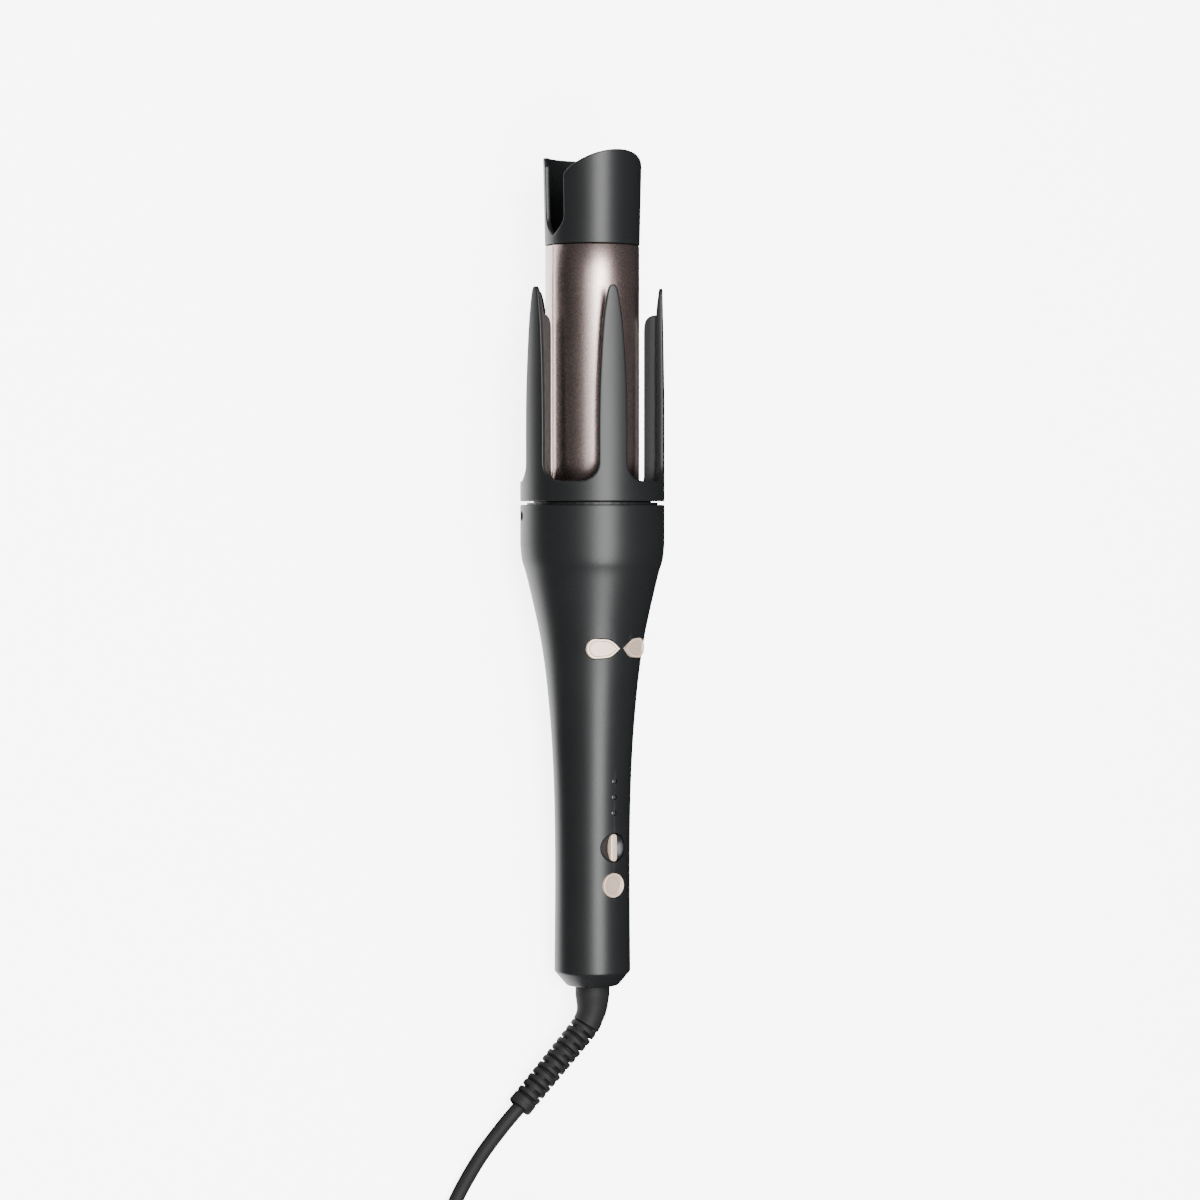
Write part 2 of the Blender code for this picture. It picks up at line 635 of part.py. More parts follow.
# ---- crown ----
def window_outline():
    """Half-width of a window by height above the crown's underside, as a closed outline."""
    step = math.pi / PRONGS
    wide = [SLEEVE_RADIUS * math.sin(step - w / 2 / SLEEVE_RADIUS) for _, w in PRONG_TAPER]
    low = SLEEVE_RADIUS * math.sin(step - PRONG_WIDTH / 2 / SLEEVE_RADIUS)
    side = arc(low - WINDOW_CORNER, CROWN_BASE + WINDOW_CORNER, WINDOW_CORNER, -90, 0, 6)
    side += [(w, CROWN_HEIGHT * h) for w, (h, _) in zip(wide, PRONG_TAPER)]
    side += [(wide[-1], CROWN_HEIGHT + 0.01)]
    return [*side, *[(-x, y) for x, y in reversed(side)]]


def crown():
    lean = SLEEVE_RADIUS - CROWN_LEAN
    top = CROWN_Z + CROWN_HEIGHT
    start = CROWN_Z + CROWN_HEIGHT * 0.45
    hole = HUB_RADIUS + GAP
    floor = CROWN_Z + CROWN_FLOOR
    skirt = INNER_RADIUS - COLLAR_WALL - 2 * GAP
    skirt_low = CROWN_Z - SKIRT_DEPTH
    profile = [
        (lean, top), (SLEEVE_RADIUS, start), (SLEEVE_RADIUS, CROWN_Z), (skirt, CROWN_Z), (skirt, skirt_low),
        (skirt - SKIRT_WALL, skirt_low), (skirt - SKIRT_WALL, CROWN_Z), (hole, CROWN_Z), (hole, floor),
        (SLEEVE_RADIUS - CROWN_WALL - 0.002, floor), (SLEEVE_RADIUS - CROWN_WALL, floor + 0.002),
        (SLEEVE_RADIUS - CROWN_WALL, start), (lean - CROWN_WALL, top - 0.008), (lean - 0.0010, top),
    ]
    made = turned("crown", profile, SOFT_BLACK, CROWN_AXIS, None, True, 60)
    for i in range(PRONGS):
        angle = PRONG_PHASE + 360 / PRONGS * i
        inner = SLEEVE_RADIUS - CROWN_WALL
        root = CROWN_Z + CROWN_FLOOR - 0.0006
        peak = CROWN_Z + RIB_TOP
        rib = [
            (inner + 0.0008, root), (inner - RIB_DEPTH - 0.0008, root), (inner - RIB_DEPTH, root + 0.006),
            (inner - RIB_DEPTH, peak - 0.0035), (inner - RIB_DEPTH * 0.7, peak - 0.0008), (inner + 0.0006, peak),
        ]
        plate = outline_mesh("rib", rib, RIB_THICKNESS)
        plate.transform(turn(90, "X"))
        cut(made, add(f"rib_{i + 1}", plate, None, CROWN_AXIS, turn(angle), True), "UNION")
    for i in range(PRONGS):
        angle = PRONG_PHASE + 360 / PRONGS * (i + 0.5)
        pane = outline_mesh("window", window_outline(), 0.012)
        pane.transform(turn(90, "Z") @ turn(90, "X"))
        place = turn(angle) @ at(SLEEVE_RADIUS - 0.001, 0, CROWN_Z)
        cut(made, add(f"window_{i + 1}", pane, None, CROWN_AXIS, place, True))


# ---- barrel and heater ----
def half_tube(name, radius, wall, bottom, top, side, look, gap, steps=24):
    seam = math.degrees(gap / 2 / radius)
    mesh = profile_mesh(name, [(radius, top), (radius, bottom)], False, seam if side > 0 else 180 + seam)
    mesh.transform(turn(-90))
    made = add(name, mesh, look, TOOL)
    screw_modifier(made, steps, 180 - 2 * seam)
    shell = made.modifiers.new("Solidify", "SOLIDIFY")
    shell.thickness = wall
    shell.offset = -1.0
    return made


def barrel():
    for name, side in (("barrel_front", 1), ("barrel_back", -1)):
        half_tube(name, BARREL_RADIUS, BARREL_WALL, BARREL_BOTTOM, BARREL_TOP, side, ROSE_METAL, SEAM_GAP)
    plug = BARREL_BORE - GAP
    hole = SPINDLE_RADIUS + GAP
    base = [
        (plug, BARREL_BOTTOM + 0.005), (plug, BARREL_BOTTOM - GAP), (BARREL_RADIUS, BARREL_BOTTOM - GAP),
        (BARREL_RADIUS, BASE_Z), (hole, BASE_Z), (hole, BARREL_BOTTOM + 0.005),
    ]
    turned("barrel_base", base, CREAM, TOOL)
    low, high = SPINDLE_TOP + 0.0006, BARREL_TOP
    tip = [
        (plug, high), (plug, low + 0.003), (0.0060, low + 0.003), (0.0060, low),
        (SCREW_RADIUS + GAP, low), (SCREW_RADIUS + GAP, high),
    ]
    turned("tip_plug", tip, CREAM, TOOL)


def heater():
    low, high = BARREL_BOTTOM + 0.0055, SPINDLE_TOP - 0.0010
    outer, inner = BARREL_BORE - GAP, SPINDLE_RADIUS + GAP + 0.0006
    half = 0.0016
    for name, side in (("heater_block_front", 1), ("heater_block_back", -1)):
        a = math.degrees(math.asin(half / outer))
        b = math.degrees(math.asin(half / inner))
        outline = [*arc(0, 0, outer, -90 + a, 90 - a, 14), *arc(0, 0, inner, 90 - b, -90 + b, 8)]
        block = outline_mesh(name, outline, high - low)
        add(name, block, ALUMINIUM, TOOL, turn(0 if side > 0 else 180) @ at(0, 0, (low + high) / 2))
    thick = 0.0018
    width = outer - inner - 0.0024
    place = at(0, inner + 0.0012 + width / 2, (low + high) / 2)
    add("heater_element", box_mesh("heater_element", (thick, width, high - low - 0.01)), CERAMIC, TOOL, place)
    bead = rod_mesh("thermistor", 0.0009, 0.006, 12)
    add("thermistor", bead, GLASS_AMBER, TOOL, at(0, -inner - 0.0030, (low + high) / 2))
    fuse = rod_mesh("thermal_fuse", 0.0013, 0.010, 12)
    add("thermal_fuse", fuse, STEEL, TOOL, at(0, -inner - 0.0062, low + 0.010))


# ---- tip cap ----
def cap_cutter(name, peak, shoulder, reach, side):
    """Trims one lobe of the cap's rim to its rounded shoulders."""
    edge = CAP_TOP_RADIUS + 0.003
    half = CAP_TOP_RADIUS * math.cos(math.radians(18))
    run = []
    for i in range(9):
        a = math.radians(90 * i / 8)
        run.append((half - reach * (1 - math.sin(a)), CAP_Z + peak - shoulder * (1 - math.cos(a))))
    side_points = [*run, (edge, CAP_Z + peak - shoulder), (edge, CAP_Z + CAP_HEIGHT + 0.006)]
    outline = [*side_points, *[(-x, y) for x, y in reversed(side_points)]]
    blank = outline_mesh(name, outline, 0.020)
    blank.transform(turn(90, "Z") @ turn(90, "X"))
    return add(name, blank, None, TOOL, at(side * 0.010, 0, 0), True)


def tip_cap():
    top, inner_floor = CAP_Z + CAP_HEIGHT, CAP_Z + CAP_FLOOR
    flare = (CAP_TOP_RADIUS - CAP_RADIUS) / CAP_HEIGHT * CAP_FLOOR
    profile = [
        (CAP_TOP_RADIUS, top), (CAP_RADIUS, CAP_Z), (SCREW_RADIUS + GAP, CAP_Z),
        (SCREW_RADIUS + GAP, inner_floor), (CAP_RADIUS + flare - CAP_WALL, inner_floor),
        (CAP_TOP_RADIUS - CAP_WALL, top),
    ]
    made = turned("tip_cap", profile, SOFT_BLACK, TOOL)
    half = NOTCH_WIDTH / 2
    start = CAP_Z + NOTCH_BOTTOM
    ogive = []
    for i in range(6):
        t = i / 5
        ogive.append((half * math.sin(math.pi / 2 * t) ** 0.9, start + NOTCH_OGIVE * t))
    side = [*ogive[1:], (half, top + 0.004)]
    outline = [(0.0, start), *side, *[(-x, y) for x, y in reversed(side)]]
    notch = outline_mesh("notch", outline, 0.050)
    notch.transform(turn(90, "X"))
    cut(made, add("cut_notch", notch, None, TOOL, None, True))
    cut(made, cap_cutter("cut_front_lobe", CAP_HEIGHT - 0.00002, CAP_SHOULDER, CAP_REACH, 1))
    cut(made, cap_cutter("cut_back_lobe", CAP_BACK_HEIGHT, CAP_BACK_SHOULDER, CAP_BACK_REACH, -1))
    head = inner_floor + GAP
    end = SPINDLE_TOP + 0.0012
    screw = [
        (0, head + 0.0014), (0.0023, head + 0.0014), (0.0023, head), (SCREW_RADIUS, head),
        (SCREW_RADIUS, end), (0, end),
    ]
    turned("tip_screw", screw, STEEL, TOOL, None, False, 12)


# ---- controls ----
def power_button():
    top = radius_at(POWER_Z) + 0.00015
    axis = empty("power_axis", TOOL, facing(0, POWER_Z))
    low = top - SLEEVE_WALL - 0.0014
    dish = [(POWER_RADIUS * k, top - 0.0004 * (1 - k ** 2)) for k in (0.0, 0.3, 0.55, 0.78)]
    profile = [
        *dish, (POWER_RADIUS - 0.0003, top), (POWER_RADIUS, top - 0.0003), (POWER_RADIUS, low),
        (POWER_RADIUS + 0.0007, low), (POWER_RADIUS + 0.0007, low - 0.0007), (0.0012, low - 0.0007),
        (0.0012, low - 0.0014), (0, low - 0.0014),
    ]
    turned("power_button", profile, CHAMPAGNE, axis, None, False, 32)
    return low - 0.0014


def selector():
    top = radius_at(SELECTOR_Z) + 0.0001
    axis = empty("selector_axis", TOOL, facing(0, SELECTOR_Z))
    sphere = (SELECTOR_DISH_RADIUS ** 2 + SELECTOR_DISH_DEPTH ** 2) / 2 / SELECTOR_DISH_DEPTH
    drop = 0.0008
    dish = []
    for k in (0.0, 0.3, 0.55, 0.8, 1.0):
        r = SELECTOR_DISH_RADIUS * k
        dish.append((r, top - drop - SELECTOR_DISH_DEPTH + sphere - math.sqrt(sphere ** 2 - r ** 2)))
    low = top - SLEEVE_WALL - 0.0012
    profile = [
        *dish, (SELECTOR_RADIUS, top - drop), (SELECTOR_RADIUS, low), (0.0015, low), (0.0015, low - 0.0012),
        (0, low - 0.0012),
    ]
    disc = turned("selector_dish", profile, GLOSS_BLACK, axis, None, False, 32)
    half, side = BAR_LENGTH / 2, BAR_WIDTH / 2
    floor = top - drop - SELECTOR_DISH_DEPTH - 0.0006
    groove = outline_mesh("groove", bar_outline(half + GAP / 3, side + GAP / 3), 0.004)
    groove.transform(turn(90, "Z"))
    cut(disc, add("cut_groove", groove, None, axis, at(0, 0, floor + 0.002), True))
    bar = outline_mesh("selector_bar", bar_outline(half, side), top + 0.0001 - floor - GAP)
    bar.transform(turn(90, "Z"))
    add("selector_bar", bar, CHAMPAGNE, axis, at(0, 0, (top + 0.0001 + floor + GAP) / 2))
    return low - 0.0012


def bar_outline(half, side):
    return [*arc(half - side, 0, side, -90, 90, 8), *arc(side - half, 0, side, 90, 270, 8)]


def direction_buttons():
    top = radius_at(DIRECTION_Z) + 0.0001
    lows = []
    for name, side in (("left", -1), ("right", 1)):
        axis = empty(name + "_axis", TOOL, facing(side * DIRECTION_ANGLE, DIRECTION_Z))
        outline = [(x * side, y) for x, y in teardrop()]
        depth = DIRECTION_DEPTH
        body = outline_mesh(name + "_button", outline, depth)
        made = add(name + "_button", body, CHAMPAGNE, axis, at(0, 0, top - depth / 2))
        face = [(x * side, y) for x, y in teardrop(-RIM_WIDTH)]
        hollow = outline_mesh("hollow", face, 0.004)
        cut(made, add(f"cut_{name}_face", hollow, None, axis, at(0, 0, top - DIRECTION_DISH + 0.002), True))
        stem = add(f"{name}_stem", rod_mesh("stem", 0.0012, 0.0022, 14), None, axis,
                   at(0, 0, top - depth - 0.0012), True)
        cut(made, stem, "UNION")
        lows.append(top - depth - 0.0012)
    return lows[0]


def boards(power_low, selector_low, direction_low):
    """The boards and switches under the controls."""
    board_top = HANDLE_RADIUS - SLEEVE_WALL - 0.0060
    low, high = POWER_Z - 0.008, PIPE_Z[-1] + 0.004
    wide = 0.0140
    add("button_board", box_mesh("button_board", (BOARD_THICKNESS, wide, high - low)), BOARD_GREEN, TOOL,
        at(board_top - BOARD_THICKNESS / 2, 0, (low + high) / 2))
    for name, z, limit, size in (
        ("power_switch", POWER_Z, power_low, 0.0060),
        ("selector_switch", SELECTOR_Z, selector_low, 0.0070),
    ):
        top = limit - (BUTTON_TRAVEL if name == "power_switch" else 0) - 0.0002
        height = top - board_top - 0.0001
        add(name, box_mesh(name, (height, size, size)), GLOSS_BLACK, TOOL,
            at(board_top + 0.0001 + height / 2, 0, z))
    for i, z in enumerate(PIPE_Z):
        length = radius_at(z) - 0.00005 - board_top - 0.0003
        pipe = rod_mesh(f"led_pipe_{i + 1}", PIPE_RADIUS, length, 12)
        add(f"led_pipe_{i + 1}", pipe, CLEAR, TOOL, facing(0, z, board_top + 0.0003))
    for name, side in (("left", -1), ("right", 1)):
        place = facing(side * DIRECTION_ANGLE, DIRECTION_Z)
        top = direction_low - BUTTON_TRAVEL - 0.0002
        height = 0.0022
        add(f"{name}_switch", box_mesh("switch", (0.0045, 0.0045, height)), GLOSS_BLACK, TOOL,
            place @ at(0, 0, top - height / 2))
        under = top - height - 0.0001
        width = 2 * (under - BOARD_THICKNESS) * math.tan(math.radians(DIRECTION_ANGLE)) - 0.0006
        add(f"{name}_switch_board", box_mesh("board", (width, 0.0100, BOARD_THICKNESS)), BOARD_GREEN, TOOL,
            place @ at(0, 0, under - BOARD_THICKNESS / 2))
    back = -0.0036
    low, high = 0.0200, 0.1080
    add("main_board", box_mesh("main_board", (BOARD_THICKNESS, 0.0140, high - low)), BOARD_GREEN, TOOL,
        at(back, 0, (low + high) / 2))
    top = back + BOARD_THICKNESS / 2 + 0.0001
    add("transformer", box_mesh("transformer", (0.0060, 0.0110, 0.0120)), FERRITE, TOOL,
        at(top + 0.0030, 0, 0.0960))
    add("supply_capacitor", rod_mesh("supply_capacitor", 0.0030, 0.0110, 16), GLOSS_BLACK, TOOL,
        at(top + 0.0031, 0, 0.0770))


# ---- swivel, strain relief and cord ----
def swivel():
    top = SLEEVE_WALL + 0.0110
    socket_outer = HANDLE_RADIUS - SLEEVE_WALL - GAP
    socket = [
        (socket_outer, top + 0.0020), (socket_outer, 0.0062), (SWIVEL_RADIUS, 0.0062),
        (SWIVEL_RADIUS, top), (0.0, top), (0.0, top + 0.0020),
    ]
    turned("swivel_socket", [socket[5], *socket[:5]], FRAME_GREY, TOOL, None, False)
    low = SLEEVE_WALL + GAP + 0.0018 + GAP
    spigot = [
        (0.0036, top - 0.0006), (0.0036, low + 0.0004), (0.0070, low + 0.0004), (0.0070, low),
        (0.0, low),
    ]
    turned("swivel_spigot", [(0.0, top - 0.0006), *spigot], FRAME_GREY, SWIVEL_AXIS, None, False, 32)
    for i, z in enumerate((0.0066, 0.0096)):
        ring = [(0.0050, z + 0.0018), (0.0050, z), (0.0036 + GAP, z), (0.0036 + GAP, z + 0.0018)]
        turned(f"slip_ring_{i + 1}", ring, BRASS, SWIVEL_AXIS, None, True, 32)


RELIEF_ROUTE = (            # local points of the strain relief's middle line, from inside the handle
    (0.0, 0.0, 0.0030),
    (0.0, 0.0, -0.0050),
    (0.0, -0.0003, -0.0084),
    (-0.0002, -0.0011, -0.0111),
    (-0.0006, -0.0023, -0.0138),
    (-0.0010, -0.0042, -0.0161),
    (-0.0017, -0.0088, -0.0210),
    (-0.0024, -0.0136, -0.0260),
    (-0.0031, -0.0184, -0.0310),
    (-0.0038, -0.0232, -0.0360),
    (-0.0045, -0.0277, -0.0407),
)


def tube_mesh(name, points, radii, sides):
    """A welded tube along points, whose radius follows the list."""
    curve = bpy.data.curves.new(name, "CURVE")
    curve.dimensions = "3D"
    curve.bevel_depth = 1.0
    curve.bevel_resolution = sides
    curve.use_fill_caps = True
    line = curve.splines.new("POLY")
    line.points.add(len(points) - 1)
    for spot, p, radius in zip(line.points, points, radii):
        spot.co = (*p, 1.0)
        spot.radius = radius
    made = bpy.data.objects.new(name, curve)
    CUTTERS.objects.link(made)
    bpy.context.view_layer.update()
    mesh = bpy.data.meshes.new_from_object(made.evaluated_get(bpy.context.evaluated_depsgraph_get()))
    bpy.data.objects.remove(made, do_unlink=True)
    bm = bmesh.new()
    bm.from_mesh(mesh)
    bmesh.ops.remove_doubles(bm, verts=bm.verts, dist=0.000005)
    bmesh.ops.recalc_face_normals(bm, faces=bm.faces)
    bm.to_mesh(mesh)
    bm.free()
    return mesh


def strain_relief():
    route = smooth(RELIEF_ROUTE, 3)
    count = len(route) - 1
    radii = [RELIEF_RADIUS + (RELIEF_TIP_RADIUS - RELIEF_RADIUS) * max(0, i / count - 0.2) / 0.8
             for i in range(count + 1)]
    mesh = tube_mesh("strain_relief", route, radii, 4)
    made = add("strain_relief", mesh, RUBBER, SWIVEL_AXIS)
    flange = [
        (0.0, SLEEVE_WALL + GAP + 0.0018), (SWIVEL_RADIUS - 0.0004, SLEEVE_WALL + GAP + 0.0018),
        (SWIVEL_RADIUS - 0.0004, SLEEVE_WALL + GAP), (0.0, SLEEVE_WALL + GAP),
    ]
    disc = turned("relief_flange", flange, None, SWIVEL_AXIS, None, False, 32, True)
    cut(made, disc, "UNION")


def cord_piece(name, route, per_span):
    """The cord's tube, in world space."""
    curve = bpy.data.curves.new(name, "CURVE")
    curve.dimensions = "3D"
    curve.bevel_depth = CORD_RADIUS
    curve.bevel_resolution = 2
    curve.use_fill_caps = True
    points = smooth(route, per_span)
    line = curve.splines.new("POLY")
    line.points.add(len(points) - 1)
    for spot, p in zip(line.points, points):
        spot.co = (*p, 1.0)
    made = bpy.data.objects.new(name, curve)
    PARTS.objects.link(made)
    curve.materials.append(RUBBER)
    made.parent = SWIVEL_AXIS
    made.matrix_parent_inverse = tool_matrix().inverted()


def world(name, mesh, look, matrix):
    """A piece on the cord: placed in world space, moving with the swivel."""
    made = add(name, mesh, look, SWIVEL_AXIS)
    made.matrix_parent_inverse = tool_matrix().inverted()
    made.matrix_basis = matrix
    return made


def cord():
    cord_piece("cord", CORD_ROUTE, 2)
    cord_piece("cord_tail", TAIL_ROUTE, 2)
    half = COIL_THICKNESS / 2
    outer, inner = COIL_RADIUS + half, COIL_RADIUS - half
    soft = 0.0020
    low = 0.0002
    high = low + COIL_THICKNESS
    ring = [
        (outer - soft, high), (outer, high - soft), (outer, low + soft), (outer - soft, low),
        (inner + soft, low), (inner, low + soft), (inner, high - soft), (inner + soft, high),
    ]
    made = world("cord_coil", profile_mesh("cord_coil", ring, True, 180 / SEGMENTS), RUBBER,
                 at(*COIL_CENTRE, 0))
    screw_modifier(made, SEGMENTS)
    wide, thick = 0.0045, 0.0008
    reach, height = COIL_THICKNESS / 2 + GAP + thick, high + GAP + thick
    strap = [(reach, height), (-reach, height), (-reach, height - thick - GAP - 0.006),
             (-reach + thick, height - thick - GAP - 0.006), (-reach + thick, height - thick),
             (reach - thick, height - thick), (reach - thick, height - thick - GAP - 0.006),
             (reach, height - thick - GAP - 0.006)]
    tie = outline_mesh("cord_tie", strap, wide)
    tie.transform(turn(90, "X"))
    world("cord_tie", tie, RUBBER, at(*COIL_CENTRE, 0) @ turn(180) @ at(COIL_RADIUS, 0, 0))


def plug():
    start = Vector(TAIL_ROUTE[-1]) + Vector((0, -GAP, 0))
    middle = start.z
    relief = rod_mesh("plug_relief", 0.0036, PLUG_RELIEF + 0.001, 16, 0.0052)
    relief.transform(turn(90, "X"))
    body = [
        (PLUG_WIDTH * 0.30, 0.0), (PLUG_WIDTH * 0.44, -PLUG_LENGTH * 0.30), (PLUG_WIDTH / 2, -PLUG_LENGTH * 0.72),
        (PLUG_WIDTH * 0.48, -PLUG_LENGTH),
    ]
    outline = [*body, *[(-x, y) for x, y in reversed(body)]]
    made = world("plug_body", outline_mesh("plug_body", outline, PLUG_HEIGHT), RUBBER,
                 at(start.x, start.y - PLUG_RELIEF, middle))
    neck = world("plug_neck", relief, None, at(start.x, start.y, middle))
    PARTS.objects.unlink(neck)
    CUTTERS.objects.link(neck)
    neck.hide_render = True
    neck.display_type = "WIRE"
    cut(made, neck, "UNION")
    for i, side in enumerate((-1, 1)):
        pin = rod_mesh(f"plug_pin_{i + 1}", PIN_RADIUS, PIN_LENGTH, 16)
        pin.transform(turn(90, "X"))
        world(f"plug_pin_{i + 1}", pin, STEEL,
              at(start.x + side * PIN_SPACING / 2, start.y - PLUG_RELIEF - PLUG_LENGTH - GAP, middle))


SOFT_BLACK = material("soft_black", (0.011, 0.012, 0.013), 0.42)
SATIN_BLACK = material("satin_black", (0.012, 0.012, 0.013), 0.35)
GLOSS_BLACK = material("gloss_black", (0.010, 0.010, 0.011), 0.2)
FRAME_GREY = material("frame_grey", (0.10, 0.10, 0.11), 0.6)
RUBBER = material("rubber", (0.014, 0.014, 0.015), 0.55)
ROSE_METAL = material("rose_metal", (0.62, 0.47, 0.44), 0.28, 1.0)
CHAMPAGNE = material("champagne", (0.72, 0.55, 0.42), 0.34, 0.9)
STEEL = material("steel", (0.55, 0.56, 0.58), 0.3, 1.0)
ALUMINIUM = material("aluminium", (0.70, 0.71, 0.72), 0.4, 1.0)
BRASS = material("brass", (0.72, 0.52, 0.22), 0.3, 1.0)
BRONZE = material("bronze", (0.48, 0.30, 0.16), 0.4, 1.0)
NYLON = material("nylon", (0.75, 0.73, 0.68), 0.45)
CREAM = material("cream_resin", (0.70, 0.64, 0.52), 0.5)
CERAMIC = material("ceramic", (0.80, 0.79, 0.76), 0.5)
GLASS_AMBER = material("glass_amber", (0.55, 0.28, 0.08), 0.15)
BOARD_GREEN = material("board_green", (0.02, 0.16, 0.07), 0.4)
FERRITE = material("ferrite", (0.05, 0.05, 0.05), 0.7)
CLEAR = material("clear_pipe", (0.75, 0.77, 0.78), 0.15)

housing_sleeve()
neck_collar()
chassis()
frame_screws()
motor_bracket()
motor()
drive_gears()
bush_and_spindle()
crown()
barrel()
heater()
tip_cap()
boards(power_button(), selector(), direction_buttons())
swivel()
strain_relief()
cord()
plug()
bpy.context.view_layer.update()
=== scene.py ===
"""An automatic curling iron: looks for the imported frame.

The tool is shaped along its own axis: local Z runs from the handle's flat end to the tip, and local
X is the side with the buttons. TOOL then lays each finished mesh down in the frame.
"""
import json
import math

import bmesh
import bpy
from mathutils import Matrix, Vector


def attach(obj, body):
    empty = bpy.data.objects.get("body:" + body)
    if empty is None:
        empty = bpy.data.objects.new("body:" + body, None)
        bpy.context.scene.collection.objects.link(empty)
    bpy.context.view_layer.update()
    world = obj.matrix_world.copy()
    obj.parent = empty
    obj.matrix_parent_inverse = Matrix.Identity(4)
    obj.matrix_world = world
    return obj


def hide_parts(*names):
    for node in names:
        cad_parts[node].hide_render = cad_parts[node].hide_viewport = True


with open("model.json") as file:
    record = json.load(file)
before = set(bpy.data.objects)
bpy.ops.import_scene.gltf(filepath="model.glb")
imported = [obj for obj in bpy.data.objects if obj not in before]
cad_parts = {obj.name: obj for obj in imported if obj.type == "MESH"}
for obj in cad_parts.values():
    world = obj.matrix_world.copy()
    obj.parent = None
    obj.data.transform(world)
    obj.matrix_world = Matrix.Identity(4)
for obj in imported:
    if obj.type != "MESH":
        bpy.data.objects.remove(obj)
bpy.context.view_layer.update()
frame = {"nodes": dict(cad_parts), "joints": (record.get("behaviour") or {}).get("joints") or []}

bl_info = {
    "name": "Automatic curling iron",
    "version": (1, 0, 0),
    "blender": (4, 5, 0),
    "location": "View3D > Sidebar > Curling iron",
    "description": "Builds the shells, controls, cord and finishes of an automatic curling iron",
    "category": "Add Mesh",
}

MM = 0.001
NODES = frame["nodes"]
JOINTS = {joint["name"]: joint for joint in frame["joints"]}
SPIN_AXIS = Vector(JOINTS["crown_spin"]["axis"]).normalized()
SIDE = Vector((0.0, -1.0, 0.0))
FRONT = SIDE.cross(SPIN_AXIS).normalized()
HANDLE_END = Vector(JOINTS["cord_swivel"]["pos_m"])
TOOL = Matrix.Translation(HANDLE_END) @ Matrix((FRONT, SIDE, SPIN_AXIS)).transposed().to_4x4()

CROWN_Z = 167.85            # the crown's underside, in millimetres up the tool
CAP_Z = 256.1               # the tip cap's lower edge
POWER_Z, SELECTOR_Z = 35.7, 48.7
LAMPS_Z = (60.6, 66.1, 71.6)
DIRECTION_Z, DIRECTION_ANGLE = 117.5, 22.6
MARK_Z, MARK_ANGLE = 162.8, -112
BUTTON_HALF, BUTTON_SIDE = 5.9, 3.525   # half the length and half the width of a direction button
PRONGS = 5
PRONG_PHASE = -90.0
PRONG_BASE = 7.0            # the openings' lower edge above the crown's underside
CAP_LOW, CAP_TOP = 16.4, 17.1
CAP_MEAN = 16.75            # the radius at which the cap's outline is measured
NOTCH_FLOOR = 3.1
RIB_OUTLINE = (             # (past the crown's inner wall, height) of a rib inside a prong
    (0.8, 1.9), (-5.7, 1.9), (-4.9, 8.5), (-4.9, 59.0), (-4.75, 61.0), (-4.3, 62.5), (-3.4, 63.6),
    (-2.0, 64.2), (0.6, 64.5),
)
SLEEVE_KEYS = (             # (radius, height) of the sleeve's outside
    (13.20, 5.5), (13.00, 45.0), (13.61, 75.0), (15.34, 100.0), (17.94, 120.0), (22.46, 140.7),
    (24.38, 147.5), (25.00, 153.0),
)
RELIEF_ROUTE = (            # the strain relief's middle line, from inside the handle
    (0.0, 0.0, 3.0), (0.0, 0.0, -5.0), (0.0, -0.3, -8.4), (-0.2, -1.1, -11.1), (-0.6, -2.3, -13.8),
    (-1.0, -4.2, -16.1), (-1.7, -8.8, -21.0), (-2.4, -13.6, -26.0), (-3.1, -18.4, -31.0),
    (-3.8, -23.2, -36.0), (-4.5, -27.7, -40.7),
)
CORD_ROUTE = (              # over the floor from the strain relief to the coil, in metres
    (-0.1840, 0.0283, 0.0049), (-0.1891, 0.0334, 0.0037), (-0.1971, 0.0413, 0.0029),
    (-0.2043, 0.0475, 0.0027), (-0.2115, 0.0529, 0.0027), (-0.2185, 0.0571, 0.0027),
    (-0.2250, 0.0598, 0.0027), (-0.2310, 0.0610, 0.0027), (-0.2372, 0.0613, 0.0027),
)
COIL_CENTRE = (-0.2560, 0.0288)
COIL_TURNS = (              # (radius, height) of each turn, in the order the cord is wound
    (0.0325, 0.0027), (0.0275, 0.0027), (0.0225, 0.0027), (0.0225, 0.00775), (0.0225, 0.0128),
    (0.0275, 0.0128), (0.0275, 0.00775), (0.0325, 0.00775), (0.0325, 0.0128),
)
TAIL_ROUTE = (              # from the coil's top turn down to the plug's own relief
    (-0.2748, 0.0613, 0.0116), (-0.2810, 0.0611, 0.0101), (-0.2872, 0.0604, 0.0084),
    (-0.2935, 0.0585, 0.0070), (-0.2990, 0.0550, 0.0060), (-0.3030, 0.0500, 0.0057),
    (-0.3052, 0.0440, 0.0060), (-0.3060, 0.0380, 0.0067), (-0.3060, 0.0330, 0.0071),
)


PLUG_SHAPES = (             # (half width, half height, corner, distance from the cord's end) of the plug
    (5.6, 5.2, 4.6, 14.9), (7.0, 5.9, 5.2, 15.7), (7.8, 6.3, 5.4, 16.4), (9.4, 6.7, 5.2, 20.0),
    (11.0, 6.85, 4.8, 25.0), (12.2, 6.85, 4.4, 31.0), (12.8, 6.85, 4.2, 37.0), (13.0, 6.85, 4.1, 43.0),
    (12.9, 6.8, 4.0, 47.5), (12.7, 6.6, 3.9, 50.2), (12.3, 6.2, 3.6, 51.2), (11.7, 5.6, 3.2, 51.55),
)
PLUG_FACE = 51.9
PIN_OUTLINE = (             # (radius, height above the plug's face) of a pin
    (1.4, -0.4), (2.0, -0.4), (2.0, 9.9), (1.93, 10.0), (1.93, 17.4), (1.8, 18.2), (1.45, 18.8),
    (0.9, 18.98), (0.05, 19.0),
)


